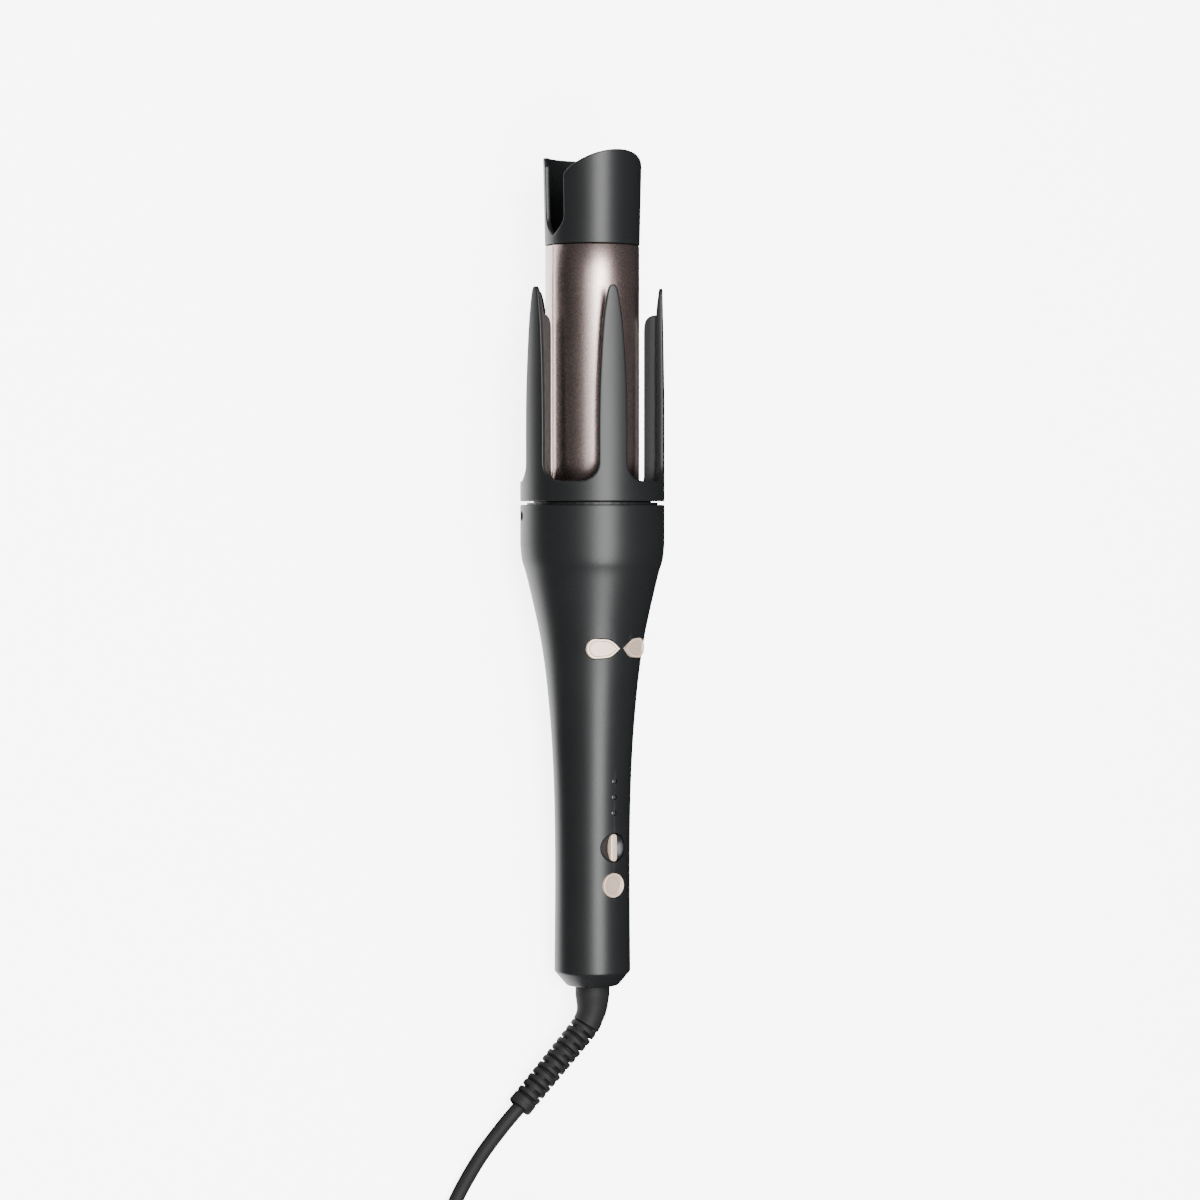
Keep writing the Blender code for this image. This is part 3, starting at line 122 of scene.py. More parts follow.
# ---- what a user may change ----
class IronSizes(bpy.types.PropertyGroup):
    """Sizes of the visible pieces, in millimetres unless a name says otherwise"""

    sleeve_radius: bpy.props.FloatProperty(
        name="Sleeve radius", description="Outer radius at the sleeve's wide end", default=25.0, min=20.0)
    sleeve_wall: bpy.props.FloatProperty(
        name="Sleeve wall", description="Thickness of the handle's shell", default=2.0, min=1.0)
    sleeve_length: bpy.props.FloatProperty(
        name="Sleeve length", description="From the handle's end to the open end",
        default=166.7, min=150.0)
    crown_height: bpy.props.FloatProperty(
        name="Crown height", description="From the crown's underside to its prong tips",
        default=73.5, min=40.0)
    crown_wall: bpy.props.FloatProperty(
        name="Crown wall", description="Thickness of the crown's wall", default=2.3, min=1.0)
    barrel_radius: bpy.props.FloatProperty(
        name="Barrel radius", description="Outer radius of the heated barrel", default=16.25, min=12.0)
    cap_height: bpy.props.FloatProperty(
        name="Cap height", description="Height of the tip cap's front lobe", default=32.0, min=20.0)
    cord_length: bpy.props.FloatProperty(
        name="Cord length", description="Length of the mains cord", default=1.8, min=1.0,
        subtype="DISTANCE", unit="LENGTH")


class IronColours(bpy.types.PropertyGroup):
    """Colours of the finishes"""

    shell: bpy.props.FloatVectorProperty(
        name="Shell", description="Soft-touch coating of the housing, crown and cap", size=3,
        subtype="COLOR", min=0.0, max=1.0, default=(0.0068, 0.0076, 0.0081))
    barrel: bpy.props.FloatVectorProperty(
        name="Barrel", description="Plating of the heated barrel", size=3,
        subtype="COLOR", min=0.0, max=1.0, default=(0.66, 0.52, 0.49))
    buttons: bpy.props.FloatVectorProperty(
        name="Buttons", description="Satin plating of the buttons", size=3,
        subtype="COLOR", min=0.0, max=1.0, default=(0.60, 0.46, 0.365))
    rubber: bpy.props.FloatVectorProperty(
        name="Rubber", description="Cord, strain relief and plug", size=3,
        subtype="COLOR", min=0.0, max=1.0, default=(0.0095, 0.0095, 0.0098))
    floor: bpy.props.FloatVectorProperty(
        name="Floor", description="The pale floor", size=3,
        subtype="COLOR", min=0.0, max=1.0, default=(0.93, 0.93, 0.93))


# ---- shaping ----
def deselect():
    if bpy.context.object and bpy.context.object.mode != "OBJECT":
        bpy.ops.object.mode_set(mode="OBJECT")
    bpy.ops.object.select_all(action="DESELECT")


def pick(made, *others):
    deselect()
    for o in (made, *others):
        o.select_set(True)
    bpy.context.view_layer.objects.active = made


def called(name):
    """Names the piece that was just added."""
    made = bpy.context.object
    made.name = name
    made.data.name = name
    return made


def weld(made, distance=0.002 * MM):
    """Merges doubles and turns every face outwards."""
    pick(made)
    bpy.ops.object.mode_set(mode="EDIT")
    bpy.ops.mesh.select_all(action="SELECT")
    bpy.ops.mesh.remove_doubles(threshold=distance)
    bpy.ops.mesh.normals_make_consistent(inside=False)
    bpy.ops.object.mode_set(mode="OBJECT")
    return made


def apply_all(made):
    pick(made)
    for name in [m.name for m in made.modifiers]:
        bpy.ops.object.modifier_apply(modifier=name)
    return made


def ease(made, width, segments=2, angle=40):
    """Rounds the sharp edges of a simple closed piece."""
    edge = made.modifiers.new("Ease", "BEVEL")
    edge.width = width * MM
    edge.segments = segments
    edge.limit_method = "ANGLE"
    edge.angle_limit = math.radians(angle)
    edge.harden_normals = False
    return apply_all(made)


def combine(made, tool, operation="DIFFERENCE"):
    """Cuts with a tool or adds it, and removes the tool."""
    step = made.modifiers.new("Combine", "BOOLEAN")
    step.operation = operation
    step.object = tool
    step.solver = "EXACT"
    apply_all(made)
    bpy.data.objects.remove(tool, do_unlink=True)
    return made


def join(made, others):
    pick(made, *others)
    bpy.ops.object.join()
    return made


def copy_of(made, matrix):
    """A copy with its own mesh, placed by a matrix."""
    pick(made)
    bpy.ops.object.duplicate()
    twin = bpy.context.object
    twin.data.transform(matrix)
    return twin


def mark_all():
    """Gives each vertex of the edited mesh its number, which an extrusion passes on."""
    bm = bmesh.from_edit_mesh(bpy.context.object.data)
    mark = bm.verts.layers.int.new("mark")
    for i, v in enumerate(bm.verts):
        v[mark] = i
    bmesh.update_edit_mesh(bpy.context.object.data)


def set_places(points):
    """Moves the selected vertices to the points, in millimetres, that their marks name."""
    bm = bmesh.from_edit_mesh(bpy.context.object.data)
    mark = bm.verts.layers.int["mark"]
    for v in bm.verts:
        if v.select:
            v.co = Vector(points[v[mark]]) * MM
    bmesh.update_edit_mesh(bpy.context.object.data)


def select_where(test, edges=False):
    """Selects the edited mesh's vertices that pass a test, or the open edges whose two ends do."""
    bpy.ops.mesh.select_all(action="DESELECT")
    bm = bmesh.from_edit_mesh(bpy.context.object.data)
    mark = bm.verts.layers.int["mark"]
    if edges:
        for e in bm.edges:
            if e.is_boundary and all(test(v[mark], v.co) for v in e.verts):
                e.select_set(True)
    else:
        for v in bm.verts:
            v.select_set(test(v[mark], v.co))
    bm.select_flush(True)
    bmesh.update_edit_mesh(bpy.context.object.data)


def loft(name, rings, joined=False):
    """A skin extruded from ring to ring, then brought back to the first ring or closed at both ends."""
    deselect()
    bpy.ops.mesh.primitive_circle_add(vertices=len(rings[0]), radius=1.0)
    made = called(name)
    bpy.ops.object.mode_set(mode="EDIT")
    bpy.ops.mesh.select_mode(type="EDGE")
    bpy.ops.mesh.select_all(action="SELECT")
    mark_all()
    set_places(rings[0])
    for ring in [*rings[1:], rings[0]] if joined else rings[1:]:
        bpy.ops.mesh.extrude_edges_move()
        set_places(ring)
    if not joined:
        bpy.ops.mesh.edge_face_add()
        bpy.ops.mesh.select_all(action="DESELECT")
        bm = bmesh.from_edit_mesh(made.data)
        for e in bm.edges:
            e.select_set(e.is_boundary)
        bmesh.update_edit_mesh(made.data)
        bpy.ops.mesh.edge_face_add()
    bpy.ops.object.mode_set(mode="OBJECT")
    return weld(made)


def turned(name, profile, steps=96, joined=False):
    """A turned piece about Z from its (radius, height) profile in millimetres."""
    turns = [2 * math.pi * k / steps for k in range(steps)]
    rings = [[(r * math.cos(a), r * math.sin(a), z) for a in turns] for r, z in profile]
    return loft(name, rings, joined)


def patch(name, rows):
    """An open sheet on a grid of points, with each vertex marked by its place in the rows."""
    deselect()
    wide, high = len(rows[0]), len(rows)
    bpy.ops.mesh.primitive_grid_add(x_subdivisions=wide - 1, y_subdivisions=high - 1, size=1.0)
    made = called(name)
    bpy.ops.object.mode_set(mode="EDIT")
    bpy.ops.mesh.select_mode(type="VERT")
    bpy.ops.mesh.select_all(action="SELECT")
    mark_all()
    set_places([p for row in rows for p in row])
    bpy.ops.object.mode_set(mode="OBJECT")
    return made


def smooth(points, per_span):
    """Points along a smooth curve through the given points."""
    spots = [Vector(p) for p in points]
    ends = [spots[0] * 2 - spots[1], *spots, spots[-1] * 2 - spots[-2]]
    out = []
    for i in range(1, len(ends) - 2):
        a, b, c, d = ends[i - 1:i + 3]
        for k in range(per_span):
            t = k / per_span
            out.append(0.5 * (2 * b + (c - a) * t + (2 * a - 5 * b + 4 * c - d) * t ** 2
                              + (3 * b - a - 3 * c + d) * t ** 3))
    return [*out, spots[-1]]


def arc(cx, cy, radius, start, end, steps):
    turns = [math.radians(start + (end - start) * k / steps) for k in range(steps + 1)]
    return [(cx + radius * math.cos(a), cy + radius * math.sin(a)) for a in turns]


def facing(angle, z, radius=0.0):
    """A place on the tool's side in metres: its Z points outwards at the angle, its Y along the tool."""
    base = Matrix(((0, 0, 1, 0), (1, 0, 0, 0), (0, 1, 0, 0), (0, 0, 0, 1)))
    turned_to = Matrix.Rotation(math.radians(angle), 4, "Z")
    return Matrix.Translation((0, 0, z * MM)) @ turned_to @ base @ Matrix.Translation((0, 0, radius * MM))


def place(made, look, body, slot, *nodes, at=None, angle=35):
    """Finishes a piece: lays it in the frame, smooths it, gives its material and says what it rides."""
    made.data.transform(TOOL if at is None else at)
    made.data.materials.clear()
    made.data.materials.append(look)
    pick(made)
    bpy.ops.object.shade_smooth_by_angle(angle=math.radians(angle))
    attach(made, body)
    if nodes:
        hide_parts(*nodes)
    return made


# ---- the housing sleeve ----
def sleeve_line(per_span=8):
    """(radius, height) of the sleeve's outside, from the chamfer's edge to the shoulder."""
    return [(p.x, p.y) for p in smooth([(r, z, 0.0) for r, z in SLEEVE_KEYS], per_span)]


def sleeve_radius(z):
    line = sleeve_line()
    for (r0, z0), (r1, z1) in zip(line, line[1:]):
        if z0 <= z <= z1:
            return r0 + (r1 - r0) * (z - z0) / (z1 - z0)
    return line[-1][0] if z > line[-1][1] else line[0][0]


def teardrop(grow=0.0, steps=14):
    """The direction button's outline: round at one end, pointed at the other, which is at -X."""
    half, side = BUTTON_HALF, BUTTON_SIDE
    round_end = arc(half - side, 0, side + grow, -78, 78, steps)
    flank = [(p.x, p.y) for p in smooth(
        [(half - side + (side + grow) * math.cos(math.radians(78)), (side + grow) * 0.978, 0),
         (-half * 0.28, side * 0.89 + grow, 0), (-half * 0.66, side * 0.55 + grow, 0),
         (-half - grow + 0.35, 0.30, 0)], 5)]
    nose = [(-half - grow + 0.08, 0.12)]
    upper = [*flank[1:], *nose]
    return [*round_end, *upper, (-half - grow, 0.0), *[(x, -y) for x, y in reversed(upper)]]


def prism(name, outline, low, high, at=None):
    """A straight block from an outline, between two heights."""
    made = loft(name, [[(x, y, z) for x, y in outline] for z in (low, high)])
    if at is not None:
        made.data.transform(at)
    return made


class CURL_OT_sleeve(bpy.types.Operator):
    """Adds the housing sleeve with the openings for its controls"""

    bl_idname = "curl.sleeve"
    bl_label = "Housing sleeve"

    def execute(self, context):
        sizes = context.scene.iron_sizes
        radius, wall, length = sizes.sleeve_radius, sizes.sleeve_wall, sizes.sleeve_length
        line = sleeve_line()
        rim = [(radius - 0.75, length), (radius - 0.35, length - 0.04), (radius - 0.1, length - 0.18),
               (radius, length - 0.5)]
        rim += [(radius, length - k) for k in (2.0, 4.0, 6.0, 8.5, 11.0)]
        foot = [(13.17, 5.15), (13.02, 4.85), (12.75, 4.50), (11.2, 2.66), (9.6, 0.76), (9.2, 0.34),
                (8.9, 0.12), (8.5, 0.0), (6.75, 0.0), (6.45, 0.08), (6.3, 0.3)]
        inside = [(6.3, wall), (8.9, wall), (11.2, 5.3)]
        inside += [(r - wall, z) for r, z in line[4::4]]
        inside += [(radius - wall, length - 3.0), (radius - wall, length - 0.3)]
        inside.append((radius - wall + 0.3, length))
        made = turned("sleeve", [*rim, *reversed(line), *foot, *inside], 192, True)
        round_holes = [(4.5, POWER_Z, 64), (5.1, SELECTOR_Z, 64), *[(0.95, z, 24) for z in LAMPS_Z]]
        cutters = []
        for hole, z, steps in round_holes:
            outline = arc(0, 0, hole, 0, 360 - 360 / steps, steps - 1)
            cutters.append(prism("hole", outline, -6, 6, facing(0, z, 13.0)))
        for turn in (-1, 1):
            outline = [(x * turn, y) for x, y in teardrop(0.28)]
            at = facing(turn * DIRECTION_ANGLE, DIRECTION_Z, 17.5)
            cutters.append(prism("hole", outline, -6, 6, at))
        dimple = [(0.05, -0.95), (0.9, -0.85), (1.5, -0.55), (1.75, -0.2), (1.9, 0.1), (2.1, 0.4)]
        mark = turned("hole", [*dimple, (2.1, 3.0)], 48)
        mark.data.transform(facing(MARK_ANGLE, MARK_Z, radius))
        cutters.append(mark)
        for cutter in cutters:
            combine(made, cutter)
        place(made, soft_touch("Soft_touch_housing"), "frame", "soft_black", "housing_sleeve", angle=30)
        return {"FINISHED"}


# ---- the crown ----
def rounding(distance, radius):
    """How far a surface drops at a distance from its rounded rim."""
    if distance >= radius:
        return 0.0
    return radius - math.sqrt(radius ** 2 - (radius - distance) ** 2)


def to_line(x, y, line):
    """Distance from a point to a line of points."""
    best = 1e9
    for (x0, y0), (x1, y1) in zip(line, line[1:]):
        dx, dy = x1 - x0, y1 - y0
        t = max(0.0, min(1.0, ((x - x0) * dx + (y - y0) * dy) / (dx * dx + dy * dy)))
        best = min(best, math.hypot(x - x0 - t * dx, y - y0 - t * dy))
    return best


def prong_edge(radius, height):
    """Right half of the opening's edge round one prong: (distance round the wall, height)."""
    step = math.pi / PRONGS
    corner, base, half = 6.2, PRONG_BASE, 5.2
    low = radius * math.sin(step - half / radius)

    def round_wall(x):
        return radius * (step - math.asin(x / radius))

    edge = [(round_wall((low - corner) * k / 4), base) for k in range(4)]
    for k in range(15):
        a = math.radians(-90 + 6 * k)
        edge.append((round_wall(low - corner + corner * math.cos(a)), base + corner + corner * math.sin(a)))
    keys = [(half, base + corner), (half, height * 0.38), (4.75, height * 0.60), (3.65, height * 0.82),
            (2.6, height * 0.92), (2.15, height * 0.955), (1.7, height * 0.98), (1.25, height * 0.993),
            (0.75, height)]
    taper = smooth([(s, z, 0.0) for s, z in keys], 6)
    return edge + [(p.x, p.y) for p in taper[1:]]


def prong_rows(radius, height):
    """The places on one crown sector as rows of (distance round the wall, height)."""
    layers = (0.0, 0.10, 0.30, 0.62, 1.15, 2.0)
    edge = prong_edge(radius, height)
    flat, corner = 4, 15
    rows = []
    for i, (s, z) in enumerate(edge):
        before, after = edge[max(i - 1, 0)], edge[min(i + 1, len(edge) - 1)]
        along = Vector((after[0] - before[0], after[1] - before[1])).normalized()
        inward = Vector((-along.y, along.x))
        if i == 0:
            inward = Vector((0, -1))
        if i == len(edge) - 1:
            inward = Vector((-1, 0))
        share = min(1.0, s / 2.9)
        band = [(s + inward.x * t * share, z + inward.y * t * share) for t in layers]
        grown = min(1.0, i / (flat + corner - 1))
        middle = z - layers[-1] * (1 - grown ** 1.5)
        inner = []
        for k in range(1, 24):
            u = 1 - 2 * k / 24
            inner.append((band[-1][0] * u, middle + (band[-1][1] - middle) * abs(u) ** 1.5))
        left = [(-x, y) for x, y in reversed(band)]
        rows.append([*band, *inner, *left])
    return rows, edge


class CURL_OT_crown(bpy.types.Operator):
    """Adds the rotating crown with its five prongs and their inner ribs"""

    bl_idname = "curl.crown"
    bl_label = "Crown"

    def execute(self, context):
        sizes = context.scene.iron_sizes
        radius, wall, height = sizes.sleeve_radius, sizes.crown_wall, sizes.crown_height
        rows, edge = prong_rows(radius, height)
        past = radius * math.pi / PRONGS * 1.4
        other_edge = [(-x, y) for x, y in reversed(edge)]
        rim_line = [(past, PRONG_BASE), *edge, *other_edge, (-past, PRONG_BASE)]

        def outside(z):
            up = max(0.0, (z - 0.45 * height) / (0.55 * height))
            return radius - 0.7 * up ** 1.25

        def inside(z):
            thin = max(0.0, (z - height + 9.0) / 9.0)
            return outside(z) - wall + (wall - 1.25) * thin ** 1.3

        def spot(s, r, z):
            a = s / radius
            return (r * math.cos(a), r * math.sin(a), CROWN_Z + z)

        outer, inner = [], []
        for row in rows:
            gaps = [to_line(s, z, rim_line) for s, z in row]
            outer.append([spot(s, outside(z) - rounding(g, 0.5), z) for (s, z), g in zip(row, gaps)])
            inner.append([spot(s, inside(z) + rounding(g, 0.35), z) for (s, z), g in zip(row, gaps)])
        flat_inner = [p for row in inner for p in row]
        wide, high = len(rows[0]), len(rows)
        made = patch("crown_shell", outer)
        bpy.ops.object.mode_set(mode="EDIT")
        bpy.ops.mesh.select_mode(type="EDGE")
        last = wide - 1
        select_where(lambda m, co: m % wide in (0, last) or m // wide == high - 1, edges=True)
        bpy.ops.mesh.extrude_edges_move()
        set_places(flat_inner)
        bore, hub_floor = 6.1, 2.5
        base = [(radius, z) for z in (3.6, 2.2, 1.0)]
        base += [(radius, 0.45), (radius - 0.06, 0.22), (radius - 0.18, 0.07), (radius - 0.4, 0.0)]
        base += [(22.5, 0.0), (20.5, 0.0), (20.38, -0.12), (20.38, -1.05), (20.26, -1.2)]
        base += [(19.34, -1.2), (19.22, -1.05), (19.22, -0.12)]
        base += [(r, 0.0) for r in (19.1, 12.0, bore)] + [(bore, hub_floor)]
        base += [(r, hub_floor) for r in (12.0, 18.0, 20.7)]
        base += [(radius - wall - 2 + 2 * math.sin(a), hub_floor + 2 - 2 * math.cos(a))
                 for a in (0.52, 1.05)] + [(radius - wall, hub_floor + 2.2)]
        band = 5
        low_edge = set(range(band, wide - band))
        select_where(lambda m, co: m in low_edge, edges=True)
        for r, z in [*base, (radius - wall, rows[0][band][1])]:
            bpy.ops.mesh.extrude_edges_move()
            set_places({m: spot(rows[0][m][0], r, z) for m in low_edge})
        deselect()
        join(made, [patch("crown_shell_inside", inner)])
        weld(made)
        step = 2 * math.pi / PRONGS
        sectors = [copy_of(made, Matrix.Rotation(step * k, 4, "Z")) for k in range(1, PRONGS)]
        join(made, sectors)
        weld(made, 0.004 * MM)
        ribs = []
        profile = [(radius - wall + r, z) for r, z in RIB_OUTLINE]
        for k in range(PRONGS):
            rib = loft("rib", [[(r, y, CROWN_Z + z) for r, z in profile] for y in (-0.9, 0.9)])
            ease(rib, 0.25, 2, 30)
            rib.data.transform(Matrix.Rotation(step * k, 4, "Z"))
            ribs.append(rib)
        combine(made, join(ribs[0], ribs[1:]), "UNION")
        made.data.transform(Matrix.Rotation(math.radians(PRONG_PHASE), 4, "Z"))
        made.name = made.data.name = "rotating_crown"
        place(made, soft_touch("Soft_touch_crown"), "crown_body", "soft_black", "crown", angle=38)
        return {"FINISHED"}


# ---- barrel and tip cap ----
def half_shell(name, radius, wall, low, high, middle):
    """Half of a tube about one angle, with a fine seam and rounded edges."""
    reach = 90 - math.degrees(0.225 / radius)
    ease_by = 0.22
    turns = [reach * (2 * k / 72 - 1) for k in range(73)]
    lean = math.degrees(ease_by / radius)

    def section(shrink):
        outer = [(radius - shrink, a * (reach - lean) / reach) for a in turns]
        outer = [(radius - ease_by, -reach), (radius - ease_by * 0.3, -reach + lean * 0.3), *outer,
                 (radius - ease_by * 0.3, reach - lean * 0.3), (radius - ease_by, reach)]
        inner = [(radius - wall, -a) for a in turns]
        return [(r, math.radians(a + middle)) for r, a in [*outer, *inner]]

    heights = [low, low + 0.2] + [low + (high - low) * k / 6 for k in range(1, 6)] + [high - 0.2, high]
    rings = []
    for z in heights:
        shrink = 0.2 if z in (low, high) else 0.0
        rings.append([(r * math.cos(a), r * math.sin(a), z) for r, a in section(shrink)])
    return loft(name, rings)


class CURL_OT_barrel(bpy.types.Operator):
    """Adds the two half shells of the heated barrel"""

    bl_idname = "curl.barrel"
    bl_label = "Heated barrel"

    def execute(self, context):
        radius = context.scene.iron_sizes.barrel_radius
        look = barrel_plating()
        for name, middle in (("barrel_front", 0), ("barrel_back", 180)):
            made = half_shell(name + "_shell", radius, 1.2, 174.15, 255.8, middle)
            place(made, look, "frame", "rose_metal", name, angle=50)
        return {"FINISHED"}


def lobe_top(angle, peak, shoulder, reach):
    """Height of a cap lobe's rim at an angle from the lobe's middle."""
    start = CAP_TOP * math.cos(math.radians(18)) - reach
    side = abs(CAP_TOP * math.sin(angle))
    if side <= start:
        return peak
    a = math.asin(min(1.0, (side - start) / reach))
    return peak - shoulder * (1 - math.cos(a))


def notch_reach(z):
    """Half-angle of a cap lobe at a height: the notches beside it narrow to a point."""
    ogive, half = 6.2, 5.3
    if z <= NOTCH_FLOOR:
        return math.pi / 2
    share = min(1.0, (z - NOTCH_FLOOR) / ogive)
    return math.pi / 2 - math.asin(half * math.sin(math.pi / 2 * share) ** 0.9 / CAP_MEAN)


def lobe_rows(low, peak, shoulder, reach):
    """The places on one cap lobe as rows of (angle, height), and the line of its rim."""
    layers = (0.0, 0.10, 0.28, 0.6)
    count = 44
    shares = [0.0, 0.004, 0.016, 0.03, 0.045, 0.06, 0.08, 0.10, 0.13, 0.16, 0.20, 0.25, 0.31]
    shares += [0.31 + 0.65 * k / 14 for k in range(1, 15)]
    tall = peak - low
    shares += [1 - d / tall for d in (0.6, 0.28, 0.10, 0.0)]
    rows = []
    for v in shares:
        edge_z = low + v * (lobe_top(1.25, peak, shoulder, reach) - low)
        for _ in range(3):
            edge_z = low + v * (lobe_top(notch_reach(edge_z), peak, shoulder, reach) - low)
        edge = notch_reach(edge_z)
        band = [edge - t / CAP_MEAN for t in layers]
        inner = [band[-1] * (1 - 2 * k / count) for k in range(1, count)]
        angles = [*band, *inner, *[-a for a in reversed(band)]]
        rows.append([(a, low + v * (lobe_top(a, peak, shoulder, reach) - low)) for a in angles])
    rim = [(row[0][0] * CAP_MEAN, row[0][1]) for row in rows if row[0][1] > NOTCH_FLOOR - 0.1]
    rim += [(a * CAP_MEAN, z) for a, z in rows[-1]]
    rim += [(-x, y) for x, y in reversed(rim[:len(rim) - len(rows[-1])])]
    rim = [p for k, p in enumerate(rim) if k == 0 or math.dist(p, rim[k - 1]) > 1e-6]
    side = math.pi / 2 * CAP_MEAN
    return rows, [(side, NOTCH_FLOOR), *rim, (-side, NOTCH_FLOOR)]


def cap_lobe(middle, peak, shoulder, reach):
    """One half of the tip cap about an angle: its lobe, rim, wall and floor."""
    low, wall, floor, bore = 2.75, 1.6, 2.2, 1.5
    rows, rim = lobe_rows(low, peak, shoulder, reach)

    def skin(z):
        return CAP_LOW + (CAP_TOP - CAP_LOW) * z / 32.0

    def spot(a, r, z):
        return (r * math.cos(a + middle), r * math.sin(a + middle), CAP_Z + z)

    outer, inner = [], []
    for row in rows:
        gaps = [to_line(a * CAP_MEAN, z, rim) for a, z in row]
        outer.append([spot(a, skin(z) - rounding(g, 0.38), z) for (a, z), g in zip(row, gaps)])
        inner.append([spot(a, skin(z) - wall + rounding(g, 0.25), z) for (a, z), g in zip(row, gaps)])
    flat_inner = [p for row in inner for p in row]
    wide, high = len(rows[0]), len(rows)
    made = patch("cap_lobe", outer)
    bpy.ops.object.mode_set(mode="EDIT")
    bpy.ops.mesh.select_mode(type="EDGE")
    notch_row = next(k for k, row in enumerate(rows) if row[0][1] > NOTCH_FLOOR) - 1

    def on_rim(m, co):
        row, column = divmod(m, wide)
        return row == high - 1 or (column in (0, wide - 1) and row >= notch_row)

    select_where(on_rim, edges=True)
    bpy.ops.mesh.extrude_edges_move()
    set_places(flat_inner)
    base = [(skin(1.6), 1.6), (skin(0.8), 0.8), (CAP_LOW, 0.3), (CAP_LOW - 0.09, 0.09)]
    base += [(r, 0.0) for r in (CAP_LOW - 0.3, 13.0, 8.0, 4.0, bore)]
    base += [(r, floor) for r in (bore, 4.0, 8.0, 13.0, skin(floor) - wall - 0.3)]
    base += [(skin(floor) - wall, floor + 0.25), (skin(low) - wall, low)]
    select_where(lambda m, co: m < wide, edges=True)
    for r, z in base:
        bpy.ops.mesh.extrude_edges_move()
        set_places({m: spot(rows[0][m][0], r, z) for m in range(wide)})
    deselect()
    join(made, [patch("cap_lobe_inside", inner)])
    return weld(made)


class CURL_OT_tip_cap(bpy.types.Operator):
    """Adds the cool-touch tip cap with its two lobes"""

    bl_idname = "curl.tip_cap"
    bl_label = "Tip cap"

    def execute(self, context):
        peak = context.scene.iron_sizes.cap_height
        front = cap_lobe(0.0, peak, 9.4, 16.0)
        back = cap_lobe(math.pi, peak - 1.4, 4.5, 4.5)
        made = weld(join(front, [back]), 0.004 * MM)
        made.name = made.data.name = "cool_tip_cap"
        place(made, soft_touch("Soft_touch_cap"), "frame", "soft_black", "tip_cap", angle=38)
        return {"FINISHED"}


# ---- controls ----
def faces_up(made, low=-math.inf, high=math.inf, reach=math.inf):
    """The upward faces between two heights and within a reach of the middle, in millimetres."""
    return [face.index for face in made.data.polygons
            if face.normal.z > 0.2 and low * MM < face.center.z < high * MM
            and face.center.xy.length < reach * MM]


def second_look(made, look, faces):
    made.data.materials.append(look)
    for index in faces:
        made.data.polygons[index].material_index = 1


def power_key(plating, painted_shade_look):
    """The power button: a rim round a shallow dish with a raised ring, on a stem with a flange; the dish has
    the darker copy of the plating as painted shade, and the rest has the lighter copy as painted light.
    """
    top = sleeve_radius(POWER_Z) + 0.15
    stem = [(0.05, top - 4.8), (1.2, top - 4.8), (1.2, top - 4.1), (4.9, top - 4.1), (4.9, top - 3.4)]
    rim = [(4.2, top - 3.4), (4.2, top - 3.0), (4.2, top - 0.35), (4.12, top - 0.12), (3.95, top),
           (3.75, top - 0.02)]

    def dished(shares):
        return [(3.6 * k, top - 0.12 - 0.32 * (1 - k ** 2)) for k in shares]

    ring = [(2.72, top - 0.36), (2.62, top - 0.24), (2.46, top - 0.24), (2.36, top - 0.38)]
    face = [*dished((1.0, 0.9, 0.8)), *ring, *dished((0.55, 0.35, 0.15, 0.01))]
    made = turned("power_key", [*stem, *rim, *face], 96)
    # The dish faces take the darker copy of the plating: painted shade in the recess.
    sunk = faces_up(made, reach=3.65)
    place(made, plating, "power_button_body", "champagne", "power_button", at=TOOL @ facing(0, POWER_Z))
    second_look(made, painted_shade_look, sunk)


def selector(plating, black):
    """The round selector: a dark dish with a bar across it."""
    top = sleeve_radius(SELECTOR_Z) + 0.1
    dish_radius, deep = 4.2, 1.5
    sphere = (dish_radius ** 2 + deep ** 2) / (2 * deep)
    depth = top - 0.8 - deep + sphere
    dish = [(dish_radius * k, depth - math.sqrt(sphere ** 2 - (dish_radius * k) ** 2))
            for k in (1.0, 0.92, 0.8, 0.65, 0.5, 0.35, 0.2, 0.01)]
    foot = [(0.05, top - 4.4), (1.5, top - 4.4), (1.5, top - 3.3), (4.8, top - 3.3)]
    edge = [(4.8, top - 1.0), (4.72, top - 0.86), (4.55, top - 0.8), (4.35, top - 0.8)]
    disc = turned("selector_disc", [*foot, *edge, *dish], 96)
    at = TOOL @ facing(0, SELECTOR_Z)
    place(disc, black, "selector_body", "gloss_black", "selector_dish", at=at)

    half, corner = 4.7, 1.25
    ends = [*arc(half - corner, 0, corner, -90, 90, 14), *arc(corner - half, 0, corner, 90, 270, 14)]
    rings = []
    for inset, drop in ((0.0, 2.6), (0.0, 0.25), (-0.08, 0.08), (-0.25, 0.0), (-0.45, -0.05), (-0.8, -0.09)):
        k = 1 + inset / corner
        rings.append([(y * k, math.copysign(abs(x) + inset, x) if abs(x) > 3.4 else x, top - drop)
                      for x, y in ends])
    bar = loft("selector_rocker", rings)
    # The bar takes the lighter copy of the plating: painted light.
    place(bar, plating, "selector_body", "champagne", "selector_bar", at=at, angle=30)


